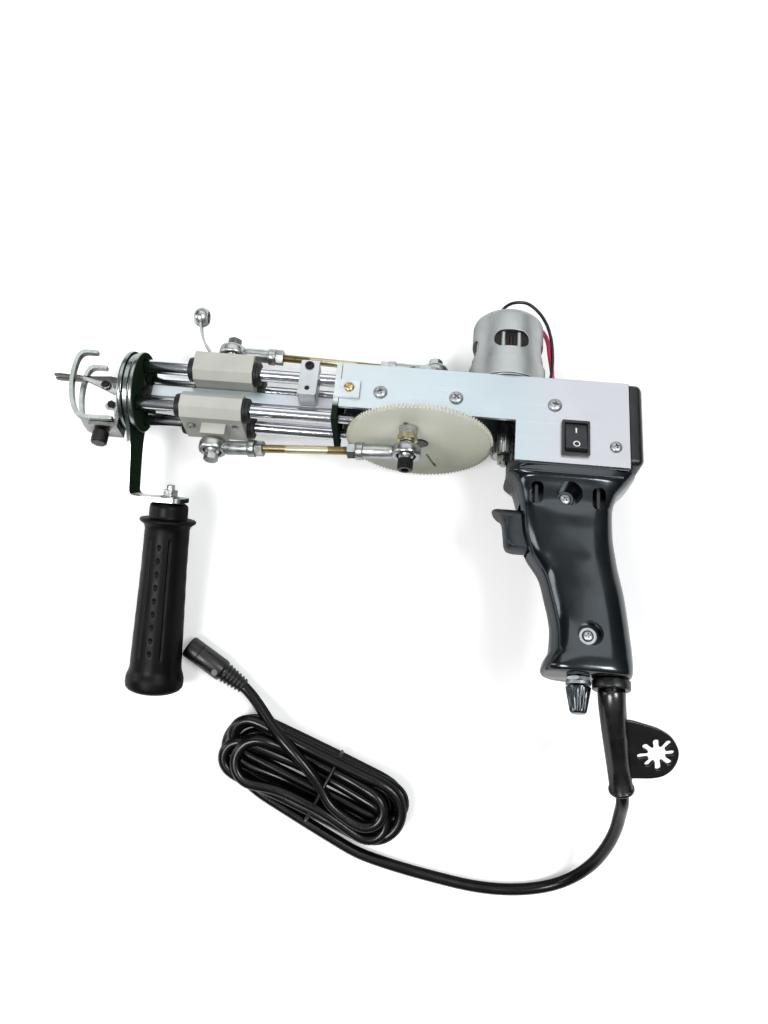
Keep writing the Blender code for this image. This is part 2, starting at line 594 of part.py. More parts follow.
for vert, y in (("upper", ROD_Y), ("lower", -ROD_Y)):
    for label, z in (("near", ROD_Z), ("far", -ROD_Z)):
        boolean(nose_rear, emit("cut_nose_%s_%s" % (vert, label), *turned(
            (-121, y, z), (1, 0, 0), [(0, ROD_R + GAP), (10, ROD_R + GAP)], 20), None, cutter=True))

# the swung frame of the front handle: n runs down the handle, t across it
C, S = math.cos(HANDLE_SWING), math.sin(HANDLE_SWING)
NDIR = Vector((0, -C, -S))
TDIR = Vector((0, -S, C))


def swung(x, along, across):
    return tuple(Vector((x, 0, 0)) + NDIR * along + TDIR * across)


HANDLE_PIVOT = (-121.0, 0, 0)


def swung_prism(outline, x0, x1):
    k = len(outline)
    verts = [swung(x0, a, t) for a, t in outline] + [swung(x1, a, t) for a, t in outline]
    faces = [tuple(range(k - 1, -1, -1)), tuple(range(k, 2 * k))]
    for i in range(k):
        j = (i + 1) % k
        faces.append((i, j, k + j, k + i))
    return verts, faces


arm = []
for i in range(21):
    a = math.radians(48 + (360 - 96) * i / 20.0)
    arm.append((22.3 * math.cos(a), 22.3 * math.sin(a)))
arm += [(20.5, -14.5), (27.0, -11.6), (36.0, -10.2), (63.2, -9.5), (63.2, 9.5), (36.0, 10.2), (27.0, 11.6), (20.5, 14.5)]
bracket = emit("handle_bracket", *swung_prism(arm, -122.5, -119.7), "chrome", pivot=HANDLE_PIVOT)
boolean(bracket, emit("cut_bracket_centre", *turned(
    (-125, 0, 0), (1, 0, 0), [(0, 11.5), (10, 11.5)], 24), None, cutter=True))
tab = [(-122.5, -9.5), (-95.0, -9.5), (-90.0, -8.0), (-88.0, 0.0), (-90.0, 8.0), (-95.0, 9.5), (-122.5, 9.5)]
k = len(tab)
tab_verts = [tuple(Vector((x, 0, 0)) + NDIR * 60.6 + TDIR * t) for x, t in tab] + \
            [tuple(Vector((x, 0, 0)) + NDIR * 63.2 + TDIR * t) for x, t in tab]
tab_faces = [tuple(range(k - 1, -1, -1)), tuple(range(k, 2 * k))] + \
            [(i, (i + 1) % k, k + (i + 1) % k, k + i) for i in range(k)]
boolean(bracket, emit("join_bracket_tab", tab_verts, tab_faces, None, cutter=True), 'UNION')
HANDLE_X = -98.5
HANDLE_LEAN = Vector((-0.028, 0, 0))
handle_dir = (NDIR + HANDLE_LEAN).normalized()
handle_origin = Vector((HANDLE_X, 0, 0)) + NDIR * 63.5
boolean(bracket, emit("cut_bracket_bolt", *turned(
    handle_origin - handle_dir * 8, handle_dir, [(0, 3.0), (16, 3.0)], 16), None, cutter=True))
handle = emit("front_handle", *turned(handle_origin, handle_dir, [
    (0.4, 9.6), (2.0, 11.2), (9.0, 11.4), (10.2, 15.6), (11.6, 16.4), (13.2, 15.8), (16.5, 13.1),
    (40.0, 13.4), (80.0, 14.8), (98.0, 15.4), (104.5, 17.0), (110.0, 17.2), (113.0, 15.8), (114.2, 13.0)],
    28), "black_rubber", pivot=HANDLE_PIVOT)
# the threaded stud moulded into the handle goes up through the bracket
boolean(handle, emit("join_handle_stud", *turned(handle_origin, handle_dir, [
    (-9.0, 2.0), (-8.5, 2.5), (10.0, 2.5)], 14), None, cutter=True), 'UNION')

# --------------------------------------------------------------------------
# needle, scissors, presser foot
# --------------------------------------------------------------------------
needle = [(-174.6, 8.6), (-172.0, 6.2), (-154.0, 4.6), (-134.0, 1.0), (-118.0, -0.8), (-100.0, -1.4),
          (-95.0, -4.2), (-60.0, -4.2), (-60.0, 2.6), (-100.0, 2.8), (-118.0, 3.0), (-126.0, 3.9), (-134.0, 6.0),
          (-156.0, 10.0), (-160.0, 8.4), (-170.0, 9.0)]
emit("needle", *prism(needle, 'xy', -3.6, -0.4), "chrome", pivot=LOWER_BALL)
fixed_blade = [(-160.0, 6.6), (-150.0, 1.6), (-140.0, -1.6), (-126.0, -3.4), (-112.0, -3.2), (-112.0, 3.8),
               (-120.0, 3.8), (-134.0, 2.0), (-146.0, 4.0)]
SCISSOR_PIVOT = (-139.0, 0.6, 0.0)
blade = emit("scissor_blade_fixed", *prism(fixed_blade, 'xy', 0.9, 2.3), "dark_steel")
# the rivet that holds the moving blade is headed over in the fixed one
boolean(blade, emit("join_blade_rivet", *turned((SCISSOR_PIVOT[0], SCISSOR_PIVOT[1], 0), (0, 0, 1), [
    (1.2, 1.4), (4.3, 1.4), (4.3, 3.0), (5.6, 2.6)], 14), None, cutter=True), 'UNION')
moving_blade = [(-159.5, 7.0), (-147.0, 1.0), (-134.0, -4.4), (-126.0, -6.6), (-125.8, -4.4), (-134.0, -0.6),
                (-136.5, 2.8), (-140.0, 3.0), (-147.0, 3.6)]
blade2 = emit("scissor_blade_moving", *prism(moving_blade, 'xy', 2.6, 4.0), "chrome", pivot=SCISSOR_PIVOT)
boolean(blade2, emit("cut_blade_moving", *turned(
    (SCISSOR_PIVOT[0], SCISSOR_PIVOT[1], -5), (0, 0, 1), [(0, 1.7), (20, 1.7)], 12), None, cutter=True))

foot_profile = [(-128.7, -24.4), (-146.0, -24.4), (-151.0, -21.5), (-155.2, -14.5), (-158.6, -2.0),
                (-159.4, 8.0), (-156.6, 19.6), (-146.5, 20.4), (-146.5, 18.0), (-154.8, 17.4),
                (-157.0, 8.0), (-156.3, -1.6), (-153.0, -13.5), (-149.2, -19.8), (-145.4, -22.2), (-128.7, -22.2)]
foot = emit("presser_foot", *prism(foot_profile, 'xy', -10.0, 10.0), "chrome")
boolean(foot, emit("cut_foot_mouth", *box(-165, -148.2, -30, 30, -6.4, 6.4), None, cutter=True))
FOOT_STUD_X = -136.9
foot_slot = [(x - 129.0, z) for x, z in slot_outline(21.0, 4.6, 4)]
boolean(foot, emit("cut_foot_slot", *prism(foot_slot, 'xz', -30, -15), None, cutter=True))
foot_clamp = emit("foot_clamp", *prism(
    [(-142.5, -27.2), (-125.9, -27.2), (-125.9, -11.0), (-128.3, -11.0), (-128.3, -24.8), (-142.5, -24.8)],
    'xy', -7.0, 7.0), "aluminium")
boolean(foot_clamp, emit("cut_clamp_stud", *turned(
    (FOOT_STUD_X, -40, 0), (0, 1, 0), [(0, 2.0), (20, 2.0)], 12), None, cutter=True))
emit("foot_knob", *turned((FOOT_STUD_X, -28.0, 0), (0, -1, 0), [
    (-7.2, 1.6), (0, 1.6), (0, 4.2), (0.6, 4.6), (6.8, 4.6), (7.6, 4.0)], 18), "black_plastic",
    pivot=(FOOT_STUD_X, -28.0, 0))

# --------------------------------------------------------------------------
# pistol grip
# --------------------------------------------------------------------------
# level, front strap, rear strap, half thickness, squareness of the section
GRIP = [(-35.3, 97.0, 166.4, 19.6, 4.0), (-38.5, 96.2, 164.1, 19.6, 4.0), (-43.0, 101.0, 160.5, 18.6, 4.0),
        (-48.5, 102.6, 156.4, 17.6, 4.0), (-57.0, 104.2, 154.2, 17.0, 3.6), (-70.5, 105.7, 154.6, 16.2, 3.2),
        (-83.0, 108.8, 156.4, 15.8, 3.0), (-91.5, 116.2, 158.0, 15.4, 3.0), (-104.0, 118.8, 160.6, 15.2, 3.0),
        (-123.0, 122.6, 162.7, 15.6, 3.0), (-133.0, 122.0, 163.6, 16.2, 3.0), (-141.0, 118.6, 163.6, 16.8, 3.2),
        (-145.4, 119.2, 162.8, 16.0, 3.2)]


def grip_half(name, side):
    pts = 11
    wall = 2.4
    rows_out, rows_in = [], []
    levels = len(GRIP)
    for i, (y, xf, xr, hz, square) in enumerate(GRIP):
        xc, a = (xf + xr) / 2.0, (xr - xf) / 2.0
        for rows, inset in ((rows_out, 0.0), (rows_in, wall)):
            yy = y
            if inset:
                yy = y - wall if i == 0 else (y + wall if i == levels - 1 else y)
            row = []
            for k in range(pts):
                t = math.pi * k / (pts - 1)
                ca, sa = math.cos(t), math.sin(t)
                e = 2.0 / square
                x = xc - (a - inset) * math.copysign(abs(ca) ** e, ca)
                z = (hz - inset) * abs(sa) ** e
                row.append((x, yy, side * max(z, 0.0) + side * 0.15))
            rows.append(row)
    verts = [p for row in rows_out for p in row] + [p for row in rows_in for p in row]
    off = levels * pts
    faces = []
    for i in range(levels - 1):
        for k in range(pts - 1):
            a = i * pts + k
            faces.append((a, a + 1, a + pts + 1, a + pts))
            b = off + a
            faces.append((b, b + pts, b + pts + 1, b + 1))
        for k in (0, pts - 1):
            a = i * pts + k
            faces.append((a, a + pts, off + a + pts, off + a))
    for i in (0, levels - 1):
        faces.append(tuple(i * pts + k for k in range(pts)))
        faces.append(tuple(off + i * pts + k for k in range(pts)))
        a, b = i * pts, i * pts + pts - 1
        faces.append((a, b, off + b, off + a))
    return emit(name, verts, faces, "gloss_black")


KNOB = (137.2, -145.4, 0.0)
GLAND = (153.9, -145.4, 0.0)
for label, side in (("left", 1), ("right", -1)):
    half = grip_half("grip_half_" + label, side)
    boolean(half, emit("cut_trigger_slot_" + label, *box(90, 112, -82.6, -55.0, -7.4, 7.4), None, cutter=True))
    boolean(half, emit("cut_knob_hole_" + label, *rod((KNOB[0], -160, 0), (KNOB[0], -138, 0), 3.9, 16),
                       None, cutter=True))
    boolean(half, emit("cut_gland_hole_" + label, *rod((GLAND[0], -160, 0), (GLAND[0], -138, 0), 5.3, 16),
                       None, cutter=True))

TRIGGER_MID = [(89.6, -58.0), (93.0, -57.2), (103.0, -57.2), (118.0, -58.5), (118.0, -78.6), (110.0, -80.6),
               (99.0, -80.4), (97.4, -79.0), (96.2, -72.0), (95.2, -65.0), (93.0, -61.0)]
TRIGGER_SIDE = [(92.6, -60.0), (95.2, -59.4), (104.0, -59.4), (118.0, -60.4), (118.0, -77.4), (110.0, -79.4),
                (101.2, -79.4), (99.8, -78.2), (99.0, -72.0), (98.2, -66.5), (96.0, -62.6)]
verts, faces = [], []
rows = [(TRIGGER_SIDE, -6.7), (TRIGGER_MID, -3.4), (TRIGGER_MID, 3.4), (TRIGGER_SIDE, 6.7)]
k = len(TRIGGER_MID)
for outline, z in rows:
    verts += [(x, y, z) for x, y in outline]
for i in range(len(rows) - 1):
    for j in range(k):
        j2 = (j + 1) % k
        faces.append((i * k + j, i * k + j2, (i + 1) * k + j2, (i + 1) * k + j))
faces += [tuple(range(k - 1, -1, -1)), tuple(range(3 * k, 4 * k))]
emit("trigger", verts, faces, "grey_plastic", pivot=(103.0, -68.0, 0), smooth=40)

# rocker switch in the side plate
bezel = emit("rocker_switch_case", *box(
    SWITCH_X - 7.6, SWITCH_X + 7.6, SWITCH_Y - 10.6, SWITCH_Y + 10.6, HALF_W + GAP, HALF_W + 2.2), "black_plastic")
boolean(bezel, emit("join_switch_body", *box(
    SWITCH_X - 6.2, SWITCH_X + 6.2, SWITCH_Y - 9.2, SWITCH_Y + 9.2, 8.0, HALF_W + 1.0), None, cutter=True), 'UNION')
boolean(bezel, emit("cut_switch_pocket", *box(
    SWITCH_X - 5.3, SWITCH_X + 5.3, SWITCH_Y - 8.3, SWITCH_Y + 8.3, 16.0, 26.0), None, cutter=True))
rocker = [(-7.6, 22.2), (-6.8, 24.0), (-0.6, 22.9), (0.6, 22.7), (7.6, 21.6), (7.6, 18.8), (2.0, 17.4), (-2.0, 17.4), (-7.6, 18.8)]
ROCKER_PIVOT = (SWITCH_X, SWITCH_Y, 19.6)
emit("rocker", *prism([(SWITCH_Y + y, z) for y, z in rocker], 'yz', SWITCH_X - 5.0, SWITCH_X + 5.0),
     "black_plastic", pivot=ROCKER_PIVOT)

# speed control at the foot of the grip
emit("speed_knob", *turned(KNOB, (0, -1, 0), [
    (-7.0, 2.6), (-6.6, 3.0), (4.8, 3.0), (4.8, 5.8), (5.4, 6.4), (17.4, 4.1), (18.4, 3.4)], 24),
    "black_plastic", pivot=KNOB)

# --------------------------------------------------------------------------
# cord outlet of the grip
# --------------------------------------------------------------------------
SLEEVE_A = Vector((154.6, -153.6, 0.0))
SLEEVE_B = Vector((168.9, -197.7, -40.0))
sleeve_dir = (SLEEVE_B - SLEEVE_A).normalized()
sleeve_len = (SLEEVE_B - SLEEVE_A).length
emit("cord_gland", *turned(GLAND, (0, -1, 0), [
    (0.4, 5.2), (0.4, 8.4), (1.6, 10.0), (4.4, 10.0), (5.4, 8.8), (5.4, 5.2)], 24, ring=True), "black_plastic")
e_dir = (Vector((1, 0, 0)) - sleeve_dir * sleeve_dir.x).normalized()
n_dir = sleeve_dir.cross(e_dir)
# a straight neck through the gland, then an elbow and the drooping sleeve
ELBOW = Vector((153.9, -157.4, 0.0))
guard = emit("cord_guard", *turned(GLAND, (0, -1, 0), [
    (-6.0, 4.3), (-5.4, 4.8), (5.8, 4.8), (5.8, 7.0), (12.0, 7.0), (15.0, 6.3), (17.3, 4.5), (18.6, 2.0), (19.0, 0.0)],
    20), "black_rubber")
droop = (SLEEVE_B - ELBOW).normalized()
droop_len = (SLEEVE_B - ELBOW).length
boolean(guard, emit("join_guard_sleeve", *turned(ELBOW, droop, [
    (-0.5, 6.6), (0.6, 6.95), (droop_len - 5.0, 6.1), (droop_len - 4.7, 6.4), (droop_len - 3.8, 6.7),
    (droop_len - 1.2, 6.7), (droop_len - 0.2, 5.8)], 20), None, cutter=True), 'UNION')


def flap_point(s, e, w):
    return tuple(SLEEVE_A + sleeve_dir * s + e_dir * e + n_dir * w)


flap_outline = [(14.4, 3.0), (15.0, 7.4), (18.5, 14.5), (22.5, 22.0), (28.5, 27.8), (37.5, 30.4), (46.0, 27.6),
                (50.6, 22.2), (51.6, 17.0), (50.4, 7.4), (50.0, 3.0)]
star = []
for i in range(16):
    a = 2 * math.pi * i / 16
    r = 8.8 if i % 2 == 0 else 4.4
    star.append((36.8 + r * math.cos(a), 19.2 + r * math.sin(a)))


def flap_prism(outline, w0, w1):
    k = len(outline)
    verts = [flap_point(s, e, w0) for s, e in outline] + [flap_point(s, e, w1) for s, e in outline]
    faces = [tuple(range(k - 1, -1, -1)), tuple(range(k, 2 * k))] + \
            [(i, (i + 1) % k, k + (i + 1) % k, k + i) for i in range(k)]
    return verts, faces


# the key holder is moulded with the guard
boolean(guard, emit("join_guard_flap", *flap_prism(flap_outline, -1.4, 1.4), None, cutter=True), 'UNION')
boolean(guard, emit("cut_guard_star", *flap_prism(star, -4, 4), None, cutter=True))

# --------------------------------------------------------------------------
# cord on the resting surface
# --------------------------------------------------------------------------
R = CORD_D / 2.0
exit_point = machine_to_table(SLEEVE_B + sleeve_dir * 0.6)
exit_next = machine_to_table(SLEEVE_B + sleeve_dir * 10.0)
lead_route = [exit_point, exit_next, (171.7, -225.5, 46.0), (167.0, -248.5, 27.5), (158.6, -261.5, 16.0),
              (147.5, -270.3, 8.5), (132.8, -276.4, 4.4), (117.3, -278.6, R + 0.2), (99.0, -277.9, R + 0.1),
              (80.6, -275.6, R + 0.1), (62.0, -272.6, R + 0.1), (46.0, -269.6, R + 0.1), (29.0, -264.0, R + 0.1)]
lead = [table_point(*p) for p in lead_route]
tube_curve("cord_lead", smooth_curve(lead, 2.4 * CORD_D * MM), CORD_D, "cord_black", 3, parent=False)

tail_route = [(-33.4, -184.2, 9.8), (-37.0, -180.4, 8.6), (-42.0, -175.8, 7.6), (-47.6, -171.8, 7.1)]
tail = [table_point(*p) for p in tail_route]
tube_curve("cord_tail", smooth_curve(tail, 2.0 * CORD_D * MM), CORD_D, "cord_black", 3, parent=False)


def table_mesh(name, verts, faces, finish):
    mesh = bpy.data.meshes.new(name)
    mesh.from_pydata([tuple(table_point(*v)) for v in verts], [], faces)
    bm = bmesh.new()
    bm.from_mesh(mesh)
    bmesh.ops.recalc_face_normals(bm, faces=bm.faces)
    bm.to_mesh(mesh)
    bm.free()
    obj = bpy.data.objects.new(name, mesh)
    SCENE.objects.link(obj)
    mesh.shade_smooth()
    mesh.set_sharp_from_angle(angle=math.radians(30))
    paint(obj, finish)
    return obj


def hank_ring(inset, h):
    pts = []
    r = HANK_HALF_W - inset
    straight = HANK_HALF_L - HANK_HALF_W
    for cx, a0 in ((straight, -90), (-straight, 90)):
        for i in range(9):
            a = math.radians(a0 + 180.0 * i / 8)
            pts.append((cx + r * math.cos(a), r * math.sin(a)))
    return [(x, y, h) for x, y in rotated(pts, HANK_ANGLE, *HANK_CENTRE)]


rings = [hank_ring(3.4, 0.2), hank_ring(0.6, 2.6), hank_ring(0.0, 5.0), hank_ring(0.0, HANK_HEIGHT - 6.0),
         hank_ring(1.6, HANK_HEIGHT - 2.4), hank_ring(5.0, HANK_HEIGHT)]
k = len(rings[0])
verts = [p for ring in rings for p in ring]
faces = [tuple(range(k - 1, -1, -1)), tuple(range((len(rings) - 1) * k, len(rings) * k))]
for i in range(len(rings) - 1):
    for j in range(k):
        j2 = (j + 1) % k
        faces.append((i * k + j, i * k + j2, (i + 1) * k + j2, (i + 1) * k + j))
table_mesh("cord_hank", verts, faces, "cord_black")

# connector at the free end of the cord
CONN_A = Vector((-48.4, -171.4, 7.1))
CONN_DIR = Vector((-0.86, 0.51, 0.0)).normalized()


def table_turned(origin, direction, profile, n=16):
    return turned(origin, direction, profile, n)


verts, faces = table_turned(CONN_A, CONN_DIR, [
    (0.3, 4.2), (1.0, 4.6), (15.5, 5.8), (16.0, 6.6), (18.0, 6.9), (42.0, 6.9), (43.0, 6.2)], 18)
table_mesh("cord_connector", verts, faces, "black_plastic")
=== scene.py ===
"""Visual model of the handheld tufting machine.

Lengths are in millimetres in the machine's own frame unless a name says
otherwise: x from the needle to the rear cover, y from the grip to the motor,
z away from the resting surface. The machine is rolled about x on the surface.
"""
import math

import bmesh
import bpy
import numpy as np
from mathutils import Matrix, Vector


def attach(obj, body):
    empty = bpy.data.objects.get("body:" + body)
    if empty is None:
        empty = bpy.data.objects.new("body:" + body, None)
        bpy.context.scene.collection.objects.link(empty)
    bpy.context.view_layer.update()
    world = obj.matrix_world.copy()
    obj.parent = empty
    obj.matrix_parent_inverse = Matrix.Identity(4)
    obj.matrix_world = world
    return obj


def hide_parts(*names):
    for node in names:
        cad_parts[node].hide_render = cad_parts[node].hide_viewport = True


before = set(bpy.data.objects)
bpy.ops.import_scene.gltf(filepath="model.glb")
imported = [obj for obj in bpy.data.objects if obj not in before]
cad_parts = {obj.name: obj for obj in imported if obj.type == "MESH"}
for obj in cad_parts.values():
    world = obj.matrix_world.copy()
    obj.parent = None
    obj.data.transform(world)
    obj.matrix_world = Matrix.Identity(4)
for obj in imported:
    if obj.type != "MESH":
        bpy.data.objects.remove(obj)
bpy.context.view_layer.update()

MM = 0.001
ROLL = math.radians(19.2)
AXIS_HEIGHT = 40.8
OFFSET_X, OFFSET_Y = -9.0, 62.2
CR, SR = math.cos(ROLL), math.sin(ROLL)
MACHINE = Matrix.Translation((OFFSET_X * MM, OFFSET_Y * MM, AXIS_HEIGHT * MM)) @ Matrix.Rotation(-ROLL, 4, 'X')
COLL = bpy.context.scene.collection


def table_point(x, y, h):
    return Vector(((x + OFFSET_X) * MM, (y + OFFSET_Y) * MM, h * MM))


def machine_to_table(p):
    x, y, z = p
    return (x, y * CR + z * SR, -y * SR + z * CR + AXIS_HEIGHT)


# ---------------------------------------------------------------------------
# materials
# ---------------------------------------------------------------------------
class Shader:
    """A small helper for building node trees."""

    def __init__(self, name, colour, rough, metal=0.0, **more):
        self.mat = bpy.data.materials.new(name)
        self.mat.use_nodes = True
        self.tree = self.mat.node_tree
        self.tree.nodes.clear()
        out = self.tree.nodes.new('ShaderNodeOutputMaterial')
        self.b = self.tree.nodes.new('ShaderNodeBsdfPrincipled')
        self.tree.links.new(self.b.outputs[0], out.inputs['Surface'])
        self.b.inputs['Base Color'].default_value = (*colour, 1.0)
        self.b.inputs['Roughness'].default_value = rough
        self.b.inputs['Metallic'].default_value = metal
        for key, value in more.items():
            self.b.inputs[key.replace('_', ' ')].default_value = value
        self.coord = self.tree.nodes.new('ShaderNodeTexCoord')
        self.normal = None

    def link(self, a, b):
        self.tree.links.new(a, b)

    def node(self, kind, **props):
        n = self.tree.nodes.new(kind)
        for k, v in props.items():
            setattr(n, k, v)
        return n

    def vector(self, scale=(1, 1, 1), turn=(0, 0, 0)):
        m = self.node('ShaderNodeMapping')
        m.inputs['Scale'].default_value = scale
        m.inputs['Rotation'].default_value = turn
        self.link(self.coord.outputs['Object'], m.inputs['Vector'])
        return m.outputs[0]

    def noise(self, scale, detail=3.0, rough=0.55, stretch=(1, 1, 1), turn=(0, 0, 0)):
        n = self.node('ShaderNodeTexNoise')
        n.inputs['Scale'].default_value = scale
        n.inputs['Detail'].default_value = detail
        n.inputs['Roughness'].default_value = rough
        self.link(self.vector(stretch, turn), n.inputs['Vector'])
        return n.outputs['Fac']

    def voronoi(self, scale, feature='F1', stretch=(1, 1, 1)):
        n = self.node('ShaderNodeTexVoronoi', feature=feature)
        n.inputs['Scale'].default_value = scale
        self.link(self.vector(stretch), n.inputs['Vector'])
        return n.outputs['Distance']

    def wave(self, scale, direction='X', profile='SIN', distortion=0.0, turn=(0, 0, 0)):
        n = self.node('ShaderNodeTexWave', wave_type='BANDS', bands_direction=direction, wave_profile=profile)
        n.inputs['Scale'].default_value = scale
        n.inputs['Distortion'].default_value = distortion
        self.link(self.vector((1, 1, 1), turn), n.inputs['Vector'])
        return n.outputs['Fac']

    def spread(self, fac, lo, hi, a=0.3, b=0.7):
        n = self.node('ShaderNodeMapRange')
        n.inputs['From Min'].default_value = a
        n.inputs['From Max'].default_value = b
        n.inputs['To Min'].default_value = lo
        n.inputs['To Max'].default_value = hi
        self.link(fac, n.inputs['Value'])
        return n.outputs[0]

    def math(self, op, a, b):
        n = self.node('ShaderNodeMath', operation=op)
        for i, v in enumerate((a, b)):
            if isinstance(v, (int, float)):
                n.inputs[i].default_value = v
            else:
                self.link(v, n.inputs[i])
        return n.outputs[0]

    def colours(self, fac, stops):
        n = self.node('ShaderNodeValToRGB')
        ramp = n.color_ramp
        while len(ramp.elements) < len(stops):
            ramp.elements.new(0.5)
        for e, (pos, col) in zip(ramp.elements, stops):
            e.position = pos
            e.color = (*col, 1.0)
        self.link(fac, n.inputs['Fac'])
        return n.outputs['Color']

    def rough(self, fac, lo, hi, a=0.3, b=0.7):
        self.link(self.spread(fac, lo, hi, a, b), self.b.inputs['Roughness'])

    def base(self, fac, stops):
        self.link(self.colours(fac, stops), self.b.inputs['Base Color'])

    def along(self, axis, output='Generated'):
        n = self.node('ShaderNodeSeparateXYZ')
        self.link(self.coord.outputs[output], n.inputs[0])
        return n.outputs[axis]

    def scaled(self, factor):
        """The base colour so far, times a factor."""
        n = self.node('ShaderNodeVectorMath', operation='SCALE')
        self.link(self.b.inputs['Base Color'].links[0].from_socket, n.inputs[0])
        self.link(factor, n.inputs['Scale'])
        self.link(n.outputs[0], self.b.inputs['Base Color'])

    def overlaid(self, mask, colour):
        """Another base colour where the mask is one."""
        n = self.node('ShaderNodeMix', data_type='RGBA')
        self.link(mask, n.inputs[0])
        self.link(self.b.inputs['Base Color'].links[0].from_socket, n.inputs[6])
        n.inputs[7].default_value = (*colour, 1.0)
        self.link(n.outputs[2], self.b.inputs['Base Color'])
        left = self.math('SUBTRACT', 1.0, mask)
        self.link(left, self.b.inputs['Metallic'])
        self.link(self.math('MULTIPLY', left, 0.5), self.b.inputs['Specular IOR Level'])

    def painted_side_shade(self, least, lo=-0.15, hi=0.55):
        """Painted shade: the base colour of metal is scaled down where it faces sideways, standing in for the dark
        surroundings it mirrors there, and kept where it faces up.
        """
        self.scaled(self.spread(self.along('Z', 'Normal'), least, 1.0, lo, hi))

    def painted_side_dimming(self, least, most, lo=-0.1, hi=0.7):
        """The same painted shade for a dark plastic or rubber: its reflection is turned down where it faces sideways.
        """
        self.link(self.spread(self.along('Z', 'Normal'), least, most, lo, hi), self.b.inputs['Specular IOR Level'])

    def soften(self, radius_mm):
        n = self.node('ShaderNodeBevel', samples=4)
        n.inputs['Radius'].default_value = radius_mm * MM
        self.normal = n.outputs[0]
        self.link(self.normal, self.b.inputs['Normal'])

    def bump(self, height, strength, distance_mm):
        n = self.node('ShaderNodeBump')
        n.inputs['Strength'].default_value = strength
        n.inputs['Distance'].default_value = distance_mm * MM
        self.link(height, n.inputs['Height'])
        if self.normal is not None:
            self.link(self.normal, n.inputs['Normal'])
        self.normal = n.outputs[0]
        self.link(self.normal, self.b.inputs['Normal'])


MAT = {}
# painted shade on the gear: how steeply its colour darkens from the top down, and an offset
GEAR_SHADE, GEAR_BASE = 0.98, -0.25


def define(key, shader):
    MAT[key] = shader.mat
    return shader


